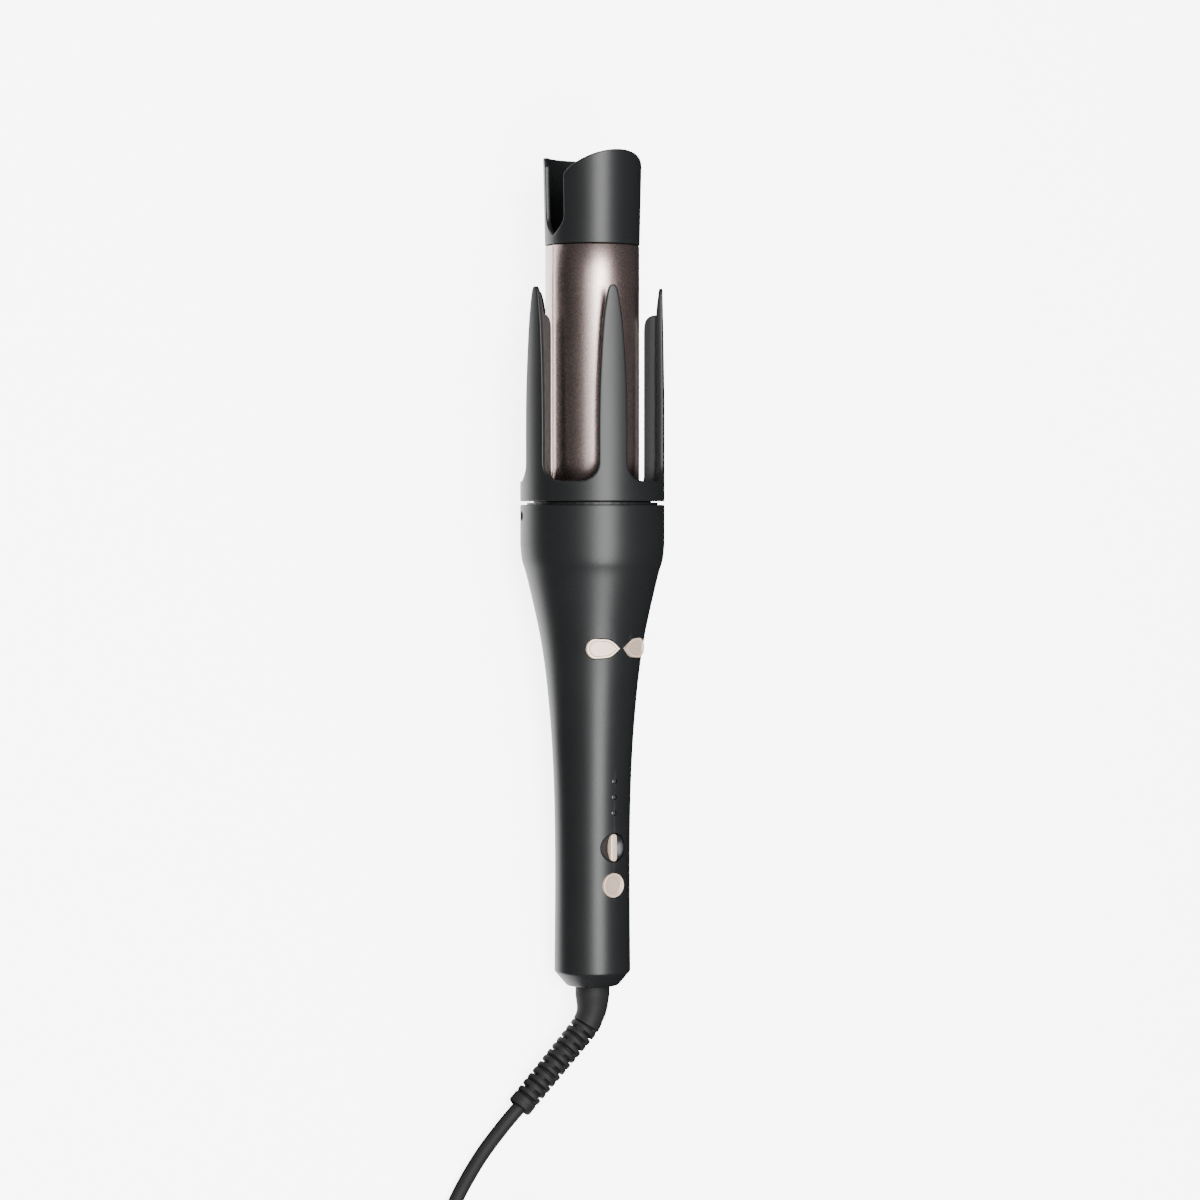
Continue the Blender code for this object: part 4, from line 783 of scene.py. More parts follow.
def direction_key(name, turn, plating, painted_shade_look):
    """A direction button: a rim in the lighter copy of the plating, painted light, round a slightly sunk
    face in the darker copy, painted shade.
    """
    top = sleeve_radius(DIRECTION_Z) + 0.1
    rings = []
    for inset, drop in ((0.0, 2.4), (0.0, 0.32), (-0.08, 0.1), (-0.24, 0.0), (-0.62, 0.0), (-0.76, 0.08),
                        (-0.84, 0.26), (-0.96, 0.38), (-1.3, 0.42), (-2.2, 0.36), (-3.1, 0.32)):
        wide, high = 1 + 1.3 * inset / BUTTON_HALF, 1 + inset / BUTTON_SIDE
        rings.append([(x * wide, y * high, top - drop) for x, y in teardrop()])
    key = loft(name + "_key", rings)
    if turn < 0:
        key.data.transform(Matrix.Rotation(math.pi, 4, "Z"))
    # The sunk face takes the darker copy of the plating: painted shade.
    sunk = faces_up(key, top - 0.45, top - 0.15)
    place(key, plating, name + "_button_body", "champagne", name + "_button",
          at=TOOL @ facing(turn * DIRECTION_ANGLE, DIRECTION_Z), angle=30)
    second_look(key, painted_shade_look, sunk)


def lamp_pipes():
    """The three light pipes, each a little below the sleeve's surface."""
    lamp = lamp_plastic()
    for k, z in enumerate(LAMPS_Z):
        top = sleeve_radius(z) - 0.28
        profile = [(0.8, 6.0), (0.8, top - 0.22), (0.76, top - 0.1), (0.6, top), (0.35, top + 0.05),
                   (0.02, top + 0.06)]
        pipe = turned(f"lamp_{k + 1}", profile, 32)
        place(pipe, lamp, "frame", "clear_pipe", f"led_pipe_{k + 1}", at=TOOL @ facing(0, z))


class CURL_OT_controls(bpy.types.Operator):
    """Adds the power button, the selector, the direction buttons and the lamps"""

    bl_idname = "curl.controls"
    bl_label = "Controls"

    def execute(self, context):
        # The buttons' plating comes as two copies of one colour: a lighter one, painted light for the lit
        # rims, stems and the selector's bar, and a darker one, painted shade for the sunk faces.
        plating, black = button_plating("Champagne_painted_light", 1.15), gloss_black()
        painted_shade_look = button_plating("Champagne_painted_shade", 0.86)
        power_key(plating, painted_shade_look)
        selector(plating, black)
        for name, turn in (("left", -1), ("right", 1)):
            direction_key(name, turn, plating, painted_shade_look)
        lamp_pipes()
        return {"FINISHED"}


# ---- cord, strain relief and plug ----
def along_route(points):
    """Each point with the direction of its line there and the length up to it."""
    out, gone = [], 0.0
    for i, p in enumerate(points):
        before, after = points[max(i - 1, 0)], points[min(i + 1, len(points) - 1)]
        if i:
            gone += (p - points[i - 1]).length
        out.append((p, (after - before).normalized(), gone))
    return out


def carried_rings(route, radius_at, steps):
    """Rings along a route whose frame is carried on without twisting."""
    spots = along_route(route)
    total = spots[-1][2]
    across = spots[0][1].orthogonal().normalized()
    turns = [2 * math.pi * k / steps for k in range(steps)]
    rings = []
    for p, way, gone in spots:
        across = (across - way * across.dot(way)).normalized()
        over = way.cross(across)
        rings.append([tuple(p + (across * math.cos(a) + over * math.sin(a)) * radius_at(gone, total, a))
                      for a in turns])
    return rings


def relief_radius(gone, total, a):
    """The strain relief: a smooth neck, then thirteen ribs joined by staggered webs, and an end collar."""
    ribs_from, pitch, count = total - 37.2, 2.7, 13
    if gone < ribs_from:
        return min(5.95, 6.0 - 1.1 * min(1.0, max(0.0, (gone - 6.0) / 8.0)))
    k = (gone - ribs_from) / pitch
    tip = 4.9 - 0.45 * (gone - ribs_from) / (pitch * count)
    if k >= count:
        return tip - 0.35 * max(0.0, 1 - (total - gone) / 0.4)
    share = k - int(k)
    if share >= 0.40:
        return tip - 0.10 * abs(share - 0.70) / 0.30
    web = max(0.0, math.cos(2 * a + math.pi * (int(k) % 2)))
    deep = 1.35 - 0.95 * min(1.0, 3.0 * max(0.0, web - 0.55))
    return tip - deep * math.sin(math.pi * share / 0.40) ** 0.5


class CURL_OT_cord(bpy.types.Operator):
    """Adds the mains cord, its strain relief, its tie and its plug"""

    bl_idname = "curl.cord"
    bl_label = "Cord and plug"

    def execute(self, context):
        rubber = rubber_part("Rubber_cord")
        made = loft("ribbed_relief", carried_rings(smooth(RELIEF_ROUTE, 24), relief_radius, 64))
        flange = turned("flange", [(0.05, 4.1), (7.8, 4.1), (7.8, 2.3), (0.05, 2.3)], 48)
        combine(made, flange, "UNION")
        place(made, rubber_part("Rubber_relief"), "swivel_body", "rubber", "strain_relief", angle=40)

        inside = TOOL @ (Vector((0.0, 0.0, 4.0)) * MM)
        start = [inside] + [TOOL @ (p * MM) for p in smooth(RELIEF_ROUTE[1:], 4)]
        points = [*start, *smooth(CORD_ROUTE, 6), *coil_points(), *smooth(TAIL_ROUTE, 6)]
        curve = bpy.data.curves.new("mains_cord", "CURVE")
        curve.dimensions = "3D"
        curve.bevel_depth = 2.5 * MM
        curve.bevel_resolution = 5
        curve.use_fill_caps = True
        line = curve.splines.new("POLY")
        line.points.add(len(points) - 1)
        for spot, p in zip(line.points, points):
            spot.co = (*p, 1.0)
        curve.materials.append(rubber)
        cord = bpy.data.objects.new("mains_cord", curve)
        bpy.context.scene.collection.objects.link(cord)
        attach(cord, "swivel_body")
        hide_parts("cord", "cord_coil", "cord_tail")
        tie = coil_tie()
        plug = plug_pieces()
        return {"FINISHED"}


def coil_points():
    """The wound turns: each keeps its own radius and height, and the cord steps over between turns."""
    cx, cy = COIL_CENTRE
    per_turn, stay = 40, 0.72
    points = []
    for k in range(2, per_turn * len(COIL_TURNS) - 5):
        turn_no = k / per_turn
        i = min(int(turn_no), len(COIL_TURNS) - 1)
        share = turn_no - i
        r, z = COIL_TURNS[i]
        if i + 1 < len(COIL_TURNS) and share > stay:
            u = (share - stay) / (1 - stay)
            u = u * u * (3 - 2 * u)
            r += (COIL_TURNS[i + 1][0] - r) * u
            z += (COIL_TURNS[i + 1][1] - z) * u
        a = math.radians(90) + 2 * math.pi * turn_no
        points.append(Vector((cx + r * math.cos(a), cy + r * math.sin(a), z)))
    return points


def rounded_ring(half_wide, half_high, corner, steps):
    """The outline of a rectangle with rounded corners."""
    ring = []
    for side, rise, start in ((1, 1, 0), (-1, 1, 90), (-1, -1, 180), (1, -1, 270)):
        middle = (side * (half_wide - corner), rise * (half_high - corner))
        ring += arc(*middle, corner, start, start + 90, steps)
    return ring


def coil_tie():
    """The strap over the coil's turns, with rounded edges and its two ends tucked under."""
    cx, cy = COIL_CENTRE
    inner, outer, top = 19.6, 35.4, 15.8
    thick, wide = 0.9, 4.4
    path = [(-outer - 0.2, 0.5), (-outer - 0.2, 4.0), (-outer - 0.2, 9.0), (-outer - 0.1, 13.2)]
    path += [(-outer + 2.0 + 2.1 * math.cos(a), 13.4 + 2.4 * math.sin(a)) for a in (2.8, 2.4, 2.0, 1.57)]
    path += [(-30.0, top), (-25.0, top)]
    path += [(-inner - 2.0 + 2.1 * math.cos(a), 13.4 + 2.4 * math.sin(a)) for a in (1.57, 1.1, 0.7, 0.35)]
    path += [(-inner + 0.2, 13.0), (-inner + 0.2, 9.0), (-inner + 0.2, 4.0), (-inner + 0.2, 0.5)]
    rings = []
    for i, (x, z) in enumerate(path):
        before, after = path[max(i - 1, 0)], path[min(i + 1, len(path) - 1)]
        way = Vector((after[0] - before[0], after[1] - before[1])).normalized()
        over = Vector((-way.y, way.x))
        rings.append([(x + over.x * b, a, z + over.y * b)
                      for a, b in rounded_ring(wide, thick / 2, 0.35, 4)])
    made = loft("coil_strap", rings)
    shift = Matrix.Translation((cx, cy, 0.0))
    place(made, woven_strap(), "swivel_body", "rubber", "cord_tie", at=shift, angle=50)
    return made


def plug_pieces():
    """The moulded plug with its ribbed neck, and its two round pins."""
    profile = [(2.62, 0.0), (3.35, 0.15), (3.55, 0.5)]
    for k in range(5):
        y = 1.4 + 2.6 * k
        wide = 3.7 + 0.28 * k
        profile += [(wide, y), (wide, y + 1.5), (wide - 0.65, y + 1.7), (wide - 0.65, y + 2.4)]
    shapes = [(r, r, r * 0.999, y) for r, y in profile] + list(PLUG_SHAPES)
    rings = [[(x, -y, z) for x, z in rounded_ring(w, h, c, 6)] for w, h, c, y in shapes]
    body = loft("moulded_plug", rings)
    shift = Matrix.Translation(TAIL_ROUTE[-1])
    place(body, rubber_part("Rubber_plug"), "swivel_body", "rubber", "plug_body", at=shift, angle=40)
    pieces = [body]
    steel = plated_steel()
    for k, turn in enumerate((-1, 1)):
        pin = turned(f"plug_prong_{k + 1}", [(r, PLUG_FACE + y) for r, y in PIN_OUTLINE], 40)
        pin.data.transform(Matrix.Rotation(math.radians(90), 4, "X"))
        pin.data.transform(Matrix.Translation((turn * 9.3 * MM, 0, 0)))
        place(pin, steel, "swivel_body", "steel", f"plug_pin_{k + 1}", at=shift, angle=40)
        pieces.append(pin)
    return pieces


# ---- finishes ----
def group_sockets(group, ins, outs):
    for name, kind, value in ins:
        socket = group.interface.new_socket(name, in_out="INPUT", socket_type=kind)
        socket.default_value = value
    for name, kind in outs:
        group.interface.new_socket(name, in_out="OUTPUT", socket_type=kind)


def node(tree, kind, links=(), **values):
    """Adds a node; a value named after an input sets it, and any other sets a property."""
    made = tree.nodes.new(kind)
    for name, value in values.items():
        if hasattr(made, name):
            setattr(made, name, value)
    for name, value in values.items():
        if not hasattr(made, name):
            made.inputs[name.replace("_", " ")].default_value = value
    for source, target in links:
        tree.links.new(source, made.inputs[target])
    return made


def maths(tree, operation, first, second):
    """A Math node on two sockets or numbers; gives its output."""
    made = tree.nodes.new("ShaderNodeMath")
    made.operation = operation
    for place_in, value in zip(made.inputs, (first, second)):
        if isinstance(value, float):
            place_in.default_value = value
        else:
            tree.links.new(value, place_in)
    return made.outputs[0]


def grain_group():
    """Fine moulded or sprayed grain: a height, and a roughness that varies with it."""
    if "Fine_grain" in bpy.data.node_groups:
        return bpy.data.node_groups["Fine_grain"]
    group = bpy.data.node_groups.new("Fine_grain", "ShaderNodeTree")
    group_sockets(group, [
        ("Grain scale", "NodeSocketFloat", 2500.0), ("Cloud scale", "NodeSocketFloat", 60.0),
        ("Roughness", "NodeSocketFloat", 0.4), ("Spread", "NodeSocketFloat", 0.05)],
        [("Height", "NodeSocketFloat"), ("Roughness", "NodeSocketFloat"), ("Cloud", "NodeSocketFloat")])
    into, out = group.nodes.new("NodeGroupInput"), group.nodes.new("NodeGroupOutput")
    where = node(group, "ShaderNodeTexCoord").outputs["Object"]
    fine = node(group, "ShaderNodeTexNoise", [(where, "Vector"), (into.outputs["Grain scale"], "Scale")],
                Detail=3.0, Roughness=0.65)
    cloud = node(group, "ShaderNodeTexNoise", [(where, "Vector"), (into.outputs["Cloud scale"], "Scale")],
                 Detail=4.0, Roughness=0.55)
    centred = maths(group, "SUBTRACT", cloud.outputs["Fac"], 0.5)
    spread = maths(group, "MULTIPLY", centred, into.outputs["Spread"])
    rough = maths(group, "ADD", spread, into.outputs["Roughness"])
    group.links.new(fine.outputs["Fac"], out.inputs["Height"])
    group.links.new(rough, out.inputs["Roughness"])
    group.links.new(cloud.outputs["Fac"], out.inputs["Cloud"])
    return group


def wear_group():
    """A mask of worn or burnished edges, broken up by noise."""
    if "Edge_wear" in bpy.data.node_groups:
        return bpy.data.node_groups["Edge_wear"]
    group = bpy.data.node_groups.new("Edge_wear", "ShaderNodeTree")
    group_sockets(group, [
        ("Low", "NodeSocketFloat", 0.54), ("High", "NodeSocketFloat", 0.62),
        ("Amount", "NodeSocketFloat", 0.5), ("Breakup", "NodeSocketFloat", 300.0)],
        [("Mask", "NodeSocketFloat")])
    into, out = group.nodes.new("NodeGroupInput"), group.nodes.new("NodeGroupOutput")
    where = node(group, "ShaderNodeTexCoord").outputs["Object"]
    edge = node(group, "ShaderNodeMapRange", [
        (node(group, "ShaderNodeNewGeometry").outputs["Pointiness"], "Value"),
        (into.outputs["Low"], "From Min"), (into.outputs["High"], "From Max")])
    noise = node(group, "ShaderNodeTexNoise", [(where, "Vector"), (into.outputs["Breakup"], "Scale")],
                 Detail=3.0)
    broken = node(group, "ShaderNodeMapRange", [(noise.outputs["Fac"], "Value")])
    broken.inputs["From Min"].default_value = 0.3
    broken.inputs["From Max"].default_value = 0.6
    both = maths(group, "MULTIPLY", edge.outputs[0], broken.outputs[0])
    scaled = maths(group, "MULTIPLY", both, into.outputs["Amount"])
    group.links.new(scaled, out.inputs["Mask"])
    return group


def sparkle_group():
    """Tiny flakes in a plating: a random brightness and a random tilt for each flake."""
    if "Flake_sparkle" in bpy.data.node_groups:
        return bpy.data.node_groups["Flake_sparkle"]
    group = bpy.data.node_groups.new("Flake_sparkle", "ShaderNodeTree")
    group_sockets(group, [("Scale", "NodeSocketFloat", 6000.0)],
                  [("Flake", "NodeSocketFloat"), ("Height", "NodeSocketFloat")])
    into, out = group.nodes.new("NodeGroupInput"), group.nodes.new("NodeGroupOutput")
    where = node(group, "ShaderNodeTexCoord").outputs["Object"]
    cells = node(group, "ShaderNodeTexVoronoi", [(where, "Vector"), (into.outputs["Scale"], "Scale")])
    split = node(group, "ShaderNodeSeparateColor", [(cells.outputs["Color"], "Color")])
    group.links.new(split.outputs[0], out.inputs["Flake"])
    slope = maths(group, "MULTIPLY", split.outputs[1], cells.outputs["Distance"])
    group.links.new(slope, out.inputs["Height"])
    return group


def use(tree, group, **values):
    made = tree.nodes.new("ShaderNodeGroup")
    made.node_tree = group
    for name, value in values.items():
        made.inputs[name.replace("_", " ")].default_value = value
    return made


def finish_start(name):
    """A new material, or the one already made under that name."""
    if name in bpy.data.materials:
        return bpy.data.materials[name], None, None
    look = bpy.data.materials.new(name)
    look.use_nodes = True
    tree = look.node_tree
    return look, tree, tree.nodes["Principled BSDF"]


def coloured(tree, shader, dark, light, mask):
    """Base colour between two colours by a mask."""
    blend = tree.nodes.new("ShaderNodeMix")
    blend.data_type = "RGBA"
    blend.inputs[6].default_value = (*dark, 1.0)
    blend.inputs[7].default_value = (*light, 1.0)
    tree.links.new(mask, blend.inputs[0])
    if shader is not None:
        tree.links.new(blend.outputs[2], shader.inputs["Base Color"])
    return blend


def bumped(tree, shader, height, distance, strength=1.0):
    bump = tree.nodes.new("ShaderNodeBump")
    bump.inputs["Strength"].default_value = strength
    bump.inputs["Distance"].default_value = distance * MM
    tree.links.new(height, bump.inputs["Height"])
    tree.links.new(bump.outputs["Normal"], shader.inputs["Normal"])


def grained(name, dark, light, roughness, spread, grain, depth, metallic=0.0, wear=0.0, worn=None):
    """A moulded, cast or sprayed finish: clouded colour, fine grain, and burnished edges."""
    look, tree, shader = finish_start(name)
    if tree is None:
        return look
    skin = use(tree, grain_group(), Grain_scale=grain, Roughness=roughness, Spread=spread)
    colour = coloured(tree, shader, dark, light, skin.outputs["Cloud"])
    tree.links.new(skin.outputs["Roughness"], shader.inputs["Roughness"])
    bumped(tree, shader, skin.outputs["Height"], depth)
    shader.inputs["Metallic"].default_value = metallic
    if wear:
        mask = use(tree, wear_group(), Amount=wear)
        top = coloured(tree, None, dark, worn or light, mask.outputs["Mask"])
        tree.links.new(colour.outputs[2], top.inputs[6])
        tree.links.new(top.outputs[2], shader.inputs["Base Color"])
    return look


def tint(colour, k):
    return tuple(min(1.0, c * k) for c in colour)


def soft_touch(name):
    shell = tuple(bpy.context.scene.iron_colours.shell)
    look = grained(name, tint(shell, 0.9), tint(shell, 1.12), 0.40, 0.05, 3200.0, 0.012, 0.0, 0.55,
                   tint(shell, 3.2))
    look.node_tree.nodes["Principled BSDF"].inputs["Specular IOR Level"].default_value = 0.5
    return look


def rubber_part(name):
    rubber = tuple(bpy.context.scene.iron_colours.rubber)
    look = grained(name, tint(rubber, 0.85), tint(rubber, 1.2), 0.62, 0.08, 1800.0, 0.02, 0.0, 0.4,
                   tint(rubber, 2.0))
    look.node_tree.nodes["Principled BSDF"].inputs["Specular IOR Level"].default_value = 0.25
    return look


def woven_strap():
    look, tree, shader = finish_start("Strap_weave")
    if tree is None:
        return look
    where = node(tree, "ShaderNodeTexCoord").outputs["Object"]
    rows = node(tree, "ShaderNodeTexWave", [(where, "Vector")],
                Scale=220.0, Distortion=0.6, bands_direction="Y")
    skin = use(tree, grain_group(), Grain_scale=1500.0, Roughness=0.75, Spread=0.1)
    weave = maths(tree, "ADD", rows.outputs["Fac"], skin.outputs["Height"])
    coloured(tree, shader, (0.012, 0.012, 0.013), (0.04, 0.04, 0.042), rows.outputs["Fac"])
    tree.links.new(skin.outputs["Roughness"], shader.inputs["Roughness"])
    bumped(tree, shader, weave, 0.15)
    return look


def gloss_black():
    return grained("Gloss_black", (0.006, 0.006, 0.007), (0.010, 0.010, 0.011), 0.34, 0.06, 900.0, 0.002,
                   0.0, 0.3, (0.05, 0.05, 0.05))


def plated_steel():
    return grained("Plated_steel", (0.50, 0.51, 0.53), (0.66, 0.67, 0.69), 0.24, 0.12, 2600.0, 0.004, 1.0)


def barrel_plating():
    plating = tuple(bpy.context.scene.iron_colours.barrel)
    look, tree, shader = finish_start("Rose_plating")
    if tree is None:
        return look
    flakes = use(tree, sparkle_group(), Scale=5200.0)
    skin = use(tree, grain_group(), Grain_scale=2400.0, Roughness=0.30, Spread=0.06)
    coloured(tree, shader, tint(plating, 0.72), tint(plating, 1.25), flakes.outputs["Flake"])
    tree.links.new(skin.outputs["Roughness"], shader.inputs["Roughness"])
    bumped(tree, shader, flakes.outputs["Height"], 0.020, 0.6)
    shader.inputs["Metallic"].default_value = 1.0
    return look


def button_plating(name, depth):
    # The depth factor tints one plating colour: above 1 gives the lighter copy used as painted light, and
    # below 1 the darker copy used as painted shade.
    plating = tint(tuple(bpy.context.scene.iron_colours.buttons), depth)
    look, tree, shader = finish_start(name)
    if tree is None:
        return look
    flakes = use(tree, sparkle_group(), Scale=7000.0)
    skin = use(tree, grain_group(), Grain_scale=2600.0, Roughness=0.34, Spread=0.06)
    colour = coloured(tree, shader, tint(plating, 0.94), tint(plating, 1.08), flakes.outputs["Flake"])
    mask = use(tree, wear_group(), Amount=0.5)
    top = coloured(tree, None, plating, tint(plating, 1.3), mask.outputs["Mask"])
    tree.links.new(colour.outputs[2], top.inputs[6])
    tree.links.new(top.outputs[2], shader.inputs["Base Color"])
    tree.links.new(skin.outputs["Roughness"], shader.inputs["Roughness"])
    bumped(tree, shader, skin.outputs["Height"], 0.006)
    shader.inputs["Metallic"].default_value = 0.35
    return look


def lamp_plastic():
    look = grained("Lamp_plastic", (0.020, 0.022, 0.024), (0.034, 0.037, 0.040), 0.16, 0.08, 1500.0,
                   0.004)
    look.node_tree.nodes["Principled BSDF"].inputs["Coat Weight"].default_value = 0.4
    return look


INSIDE_FINISHES = (         # name, two colours, (roughness, spread, grain, depth, metallic), nodes
    ("Moulded_black", (0.010, 0.010, 0.011), (0.018, 0.018, 0.019), (0.42, 0.08, 1500.0, 0.01),
     "neck_collar"),
    ("Moulded_grey", (0.085, 0.085, 0.09), (0.12, 0.12, 0.13), (0.6, 0.08, 1200.0, 0.02),
     "chassis_front", "chassis_back", "swivel_socket", "swivel_spigot"),
    ("Turned_brass", (0.66, 0.46, 0.18), (0.78, 0.58, 0.28), (0.28, 0.1, 2200.0, 0.004, 1.0),
     "gearbox", "drive_pinion", "slip_ring_1", "slip_ring_2"),
    ("Sintered_bronze", (0.40, 0.24, 0.12), (0.54, 0.35, 0.20), (0.42, 0.1, 1800.0, 0.012, 1.0),
     "crown_bush"),
    ("Natural_nylon", (0.70, 0.68, 0.62), (0.80, 0.78, 0.73), (0.45, 0.08, 1400.0, 0.01),
     "crown_gear"),
    ("Cast_aluminium", (0.60, 0.61, 0.62), (0.74, 0.75, 0.76), (0.42, 0.12, 1600.0, 0.015, 1.0),
     "heater_block_front", "heater_block_back"),
    ("Cream_resin", (0.62, 0.56, 0.45), (0.74, 0.69, 0.58), (0.5, 0.08, 1300.0, 0.015),
     "barrel_base", "tip_plug"),
    ("White_ceramic", (0.76, 0.75, 0.72), (0.84, 0.83, 0.80), (0.5, 0.1, 1500.0, 0.012),
     "heater_element"),
    ("Board_lacquer", (0.016, 0.13, 0.055), (0.03, 0.19, 0.09), (0.35, 0.08, 900.0, 0.006),
     "button_board", "left_switch_board", "right_switch_board", "main_board"),
    ("Amber_glass", (0.48, 0.22, 0.06), (0.60, 0.32, 0.11), (0.12, 0.04, 700.0, 0.002),
     "thermistor"),
    ("Ferrite", (0.04, 0.04, 0.04), (0.07, 0.07, 0.068), (0.7, 0.1, 1700.0, 0.02),
     "transformer"),
)
STEEL_NODES = ("frame_screw_1", "frame_screw_2", "frame_screw_3", "frame_screw_4", "motor_bracket",
               "motor_can", "spindle", "thermal_fuse", "tip_screw")
BLACK_NODES = ("power_switch", "selector_switch", "left_switch", "right_switch", "supply_capacitor")


def finish_nodes(look, names):
    """Gives nodes that are carried over as they are their finish."""
    for name in names:
        NODES[name].data.materials.clear()
        NODES[name].data.materials.append(look)


class CURL_OT_inside(bpy.types.Operator):
    """Gives the carried-over pieces inside their finishes"""

    bl_idname = "curl.inside"
    bl_label = "Inside pieces"

    def execute(self, context):
        for name, dark, light, feel, *names in INSIDE_FINISHES:
            finish_nodes(grained(name, dark, light, *feel), names)
        finish_nodes(plated_steel(), STEEL_NODES)
        finish_nodes(gloss_black(), BLACK_NODES)
        return {"FINISHED"}


# ---- camera, floor and light ----
VIEW_TURN = math.radians(35.0)
FLOOR_GLOW = 5.2            # makes the floor plain white to the camera and leaves the light alone
CARD_GLOW = 4.0             # the bright band that reflections see beside the tool
SKY_LIGHT, SKY_REFLECTED = 1.36, 0.07
TO_CAMERA = FRONT * math.cos(VIEW_TURN) - SIDE * math.sin(VIEW_TURN)
CAMERA_RIGHT = FRONT * math.sin(VIEW_TURN) + SIDE * math.cos(VIEW_TURN)


def aimed(position, target, up):
    """A place for a camera or light whose -Z looks at the target."""
    way = (target - position).normalized()
    right = way.cross(up).normalized()
    over = right.cross(way)
    turned_to = Matrix((right, over, -way)).transposed().to_4x4()
    return Matrix.Translation(position) @ turned_to


def around(angle, distance, station=0.14):
    """A point round the tool, in degrees to the camera's right."""
    a = math.radians(angle)
    way = TO_CAMERA * math.cos(a) + CAMERA_RIGHT * math.sin(a)
    return HANDLE_END + SPIN_AXIS * station + way * distance


def strip_light(name, angle, distance, wide, tall, power, station=0.14):
    lamp = bpy.data.lights.new(name, "AREA")
    lamp.shape = "RECTANGLE"
    lamp.size = wide
    lamp.size_y = tall
    lamp.energy = power
    made = bpy.data.objects.new(name, lamp)
    bpy.context.scene.collection.objects.link(made)
    made.matrix_world = aimed(around(angle, distance, station), around(0, 0, station), SPIN_AXIS)
    return made


class CURL_OT_camera(bpy.types.Operator):
    """Adds the camera"""

    bl_idname = "curl.camera"
    bl_label = "Camera"

    def execute(self, context):
        lens = bpy.data.cameras.new("Camera")
        lens.lens = 103.5
        lens.sensor_width = 36.0
        lens.clip_start = 0.05
        lens.clip_end = 20.0
        camera = bpy.data.objects.new("Camera", lens)
        context.scene.collection.objects.link(camera)
        target = HANDLE_END + SPIN_AXIS * 0.1337 + CAMERA_RIGHT * 0.00265
        camera.matrix_world = aimed(around(0, 1.195, 0.1656), target, SPIN_AXIS)
        context.scene.camera = camera
        return {"FINISHED"}


class CURL_OT_stage(bpy.types.Operator):
    """Adds the pale floor and the soft studio light"""

    bl_idname = "curl.stage"
    bl_label = "Floor and light"

    def execute(self, context):
        deselect()
        bpy.ops.mesh.primitive_plane_add(size=12.0, location=(0, 0, -0.0002))
        floor = called("Floor")
        floor.data.materials.append(floor_look(tuple(context.scene.iron_colours.floor)))
        context.scene.world = studio_world()
        strip_light("Key_strip", 20, 1.2, 0.52, 1.5, 30)
        strip_light("Fill_strip", 14, 1.4, 1.5, 1.5, 8)
        return {"FINISHED"}


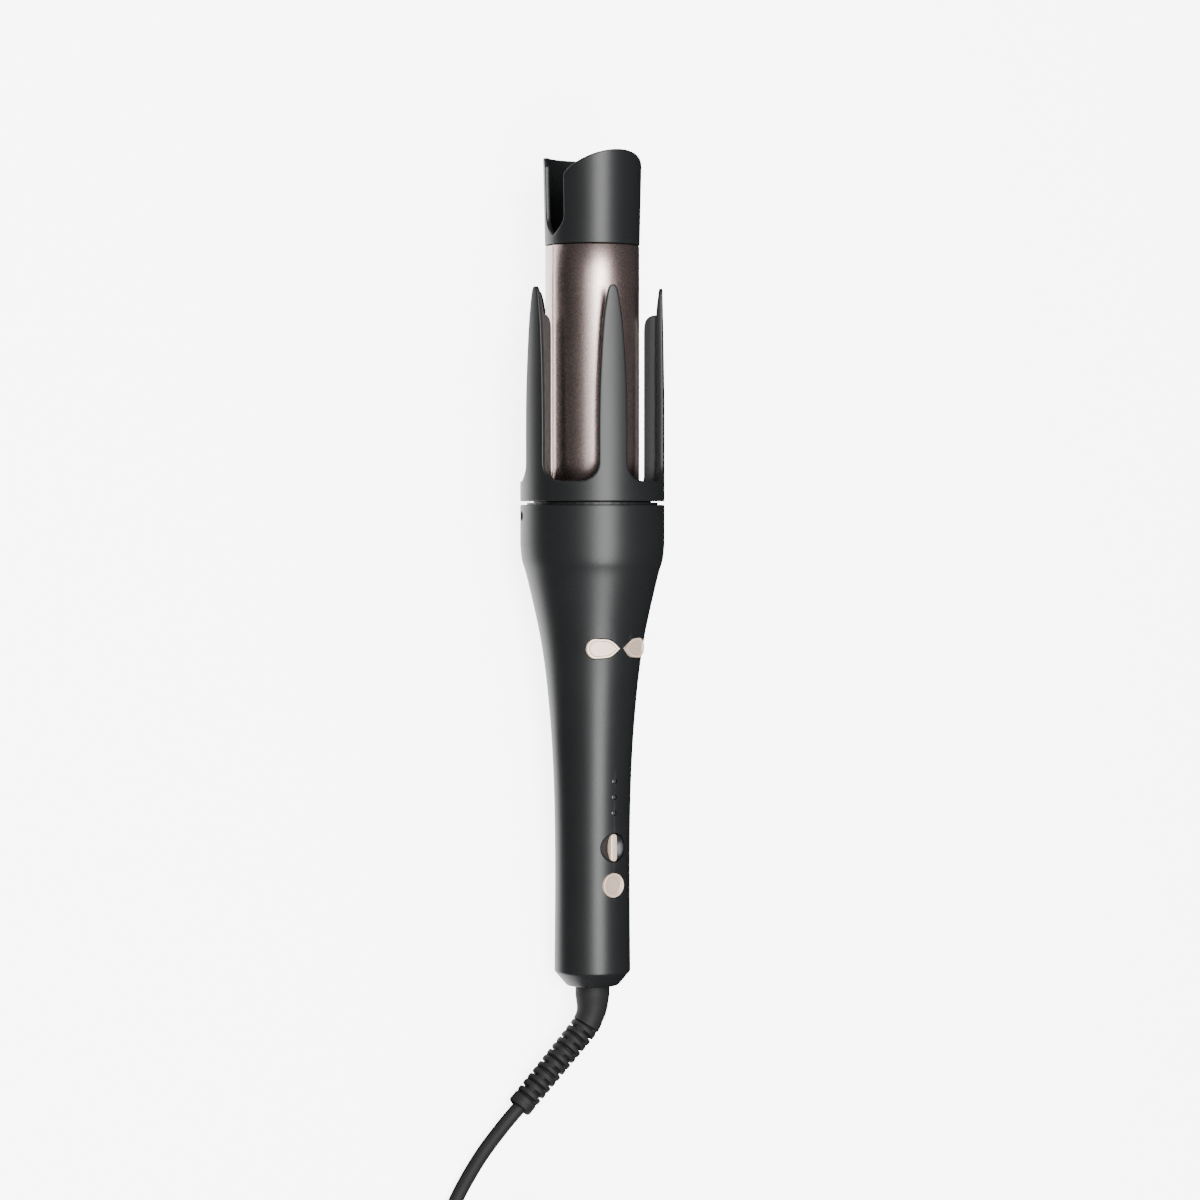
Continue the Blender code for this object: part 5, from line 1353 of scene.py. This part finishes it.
def floor_look(colour):
    """A pale matt floor; reflections see a bright band beside the tool and a dark card beyond it."""
    look, tree, shader = finish_start("Pale_floor")
    shader.inputs["Base Color"].default_value = (*colour, 1.0)
    shader.inputs["Roughness"].default_value = 0.9
    shader.inputs["Specular IOR Level"].default_value = 0.1
    shader.inputs["Emission Color"].default_value = (1.0, 1.0, 1.0, 1.0)
    spot = node(tree, "ShaderNodeTexCoord").outputs["Object"]
    where = node(tree, "ShaderNodeSeparateXYZ", [(spot, "Vector")])
    girth = node(tree, "ShaderNodeMapRange", [(where.outputs["X"], "Value")])
    for name, value in (("From Min", -0.06), ("From Max", 0.0), ("To Min", 0.50), ("To Max", 1.0)):
        girth.inputs[name].default_value = value
    beside = maths(tree, "DIVIDE", where.outputs["Y"], girth.outputs[0])
    band = node(tree, "ShaderNodeValToRGB", [(maths(tree, "MULTIPLY", beside, 10.0), "Fac")])
    stops = band.color_ramp.elements
    for position in (0.30, 0.52):
        stops.new(position)
    for stop, position, value in zip(stops, (0.0, 0.06, 0.30, 0.52), (0.01, 1.0, 1.0, 0.01)):
        stop.position = position
        stop.color = (value, value, value, 1.0)
    card = node(tree, "ShaderNodeEmission", [(band.outputs["Color"], "Color")], Strength=CARD_GLOW)
    path = node(tree, "ShaderNodeLightPath")
    glow = maths(tree, "MULTIPLY", path.outputs["Is Camera Ray"], FLOOR_GLOW)
    tree.links.new(glow, shader.inputs["Emission Strength"])
    blend = node(tree, "ShaderNodeMixShader", [
        (path.outputs["Is Glossy Ray"], "Fac"), (shader.outputs["BSDF"], 1), (card.outputs["Emission"], 2)])
    tree.links.new(blend.outputs[0], tree.nodes["Material Output"].inputs["Surface"])
    return look


def studio_world():
    """Even white light on matt surfaces, and a dark studio in reflections."""
    world = bpy.data.worlds.new("Studio")
    world.use_nodes = True
    tree = world.node_tree
    sky = tree.nodes["Background"]
    sky.inputs["Color"].default_value = (1.0, 1.0, 1.0, 1.0)
    path = node(tree, "ShaderNodeLightPath")
    strength = node(tree, "ShaderNodeMapRange", [(path.outputs["Is Glossy Ray"], "Value")])
    strength.inputs["To Min"].default_value = SKY_LIGHT
    strength.inputs["To Max"].default_value = SKY_REFLECTED
    tree.links.new(strength.outputs[0], sky.inputs["Strength"])
    return world


class CURL_PT_panel(bpy.types.Panel):
    """Lists the sizes, the colours and the pieces"""

    bl_idname = "CURL_PT_panel"
    bl_label = "Curling iron"
    bl_space_type = "VIEW_3D"
    bl_region_type = "UI"
    bl_category = "Curling iron"

    def draw(self, context):
        for group in (context.scene.iron_sizes, context.scene.iron_colours):
            for name in group.__annotations__:
                self.layout.prop(group, name)
        for piece in PIECES:
            self.layout.operator(piece.bl_idname)


PIECES = (CURL_OT_camera, CURL_OT_cord, CURL_OT_sleeve, CURL_OT_crown, CURL_OT_barrel, CURL_OT_tip_cap,
          CURL_OT_controls, CURL_OT_inside, CURL_OT_stage)
CLASSES = (IronSizes, IronColours, *PIECES, CURL_PT_panel)


def register():
    for made in CLASSES:
        bpy.utils.register_class(made)
    bpy.types.Scene.iron_sizes = bpy.props.PointerProperty(type=IronSizes)
    bpy.types.Scene.iron_colours = bpy.props.PointerProperty(type=IronColours)


def unregister():
    del bpy.types.Scene.iron_colours
    del bpy.types.Scene.iron_sizes
    for made in reversed(CLASSES):
        bpy.utils.unregister_class(made)


def main():
    register()
    bpy.ops.curl.camera()
    bpy.ops.curl.cord()
    bpy.ops.curl.sleeve()
    bpy.ops.curl.crown()
    bpy.ops.curl.barrel()
    bpy.ops.curl.tip_cap()
    bpy.ops.curl.controls()
    bpy.ops.curl.inside()
    bpy.ops.curl.stage()


if __name__ == "__main__":
    main()
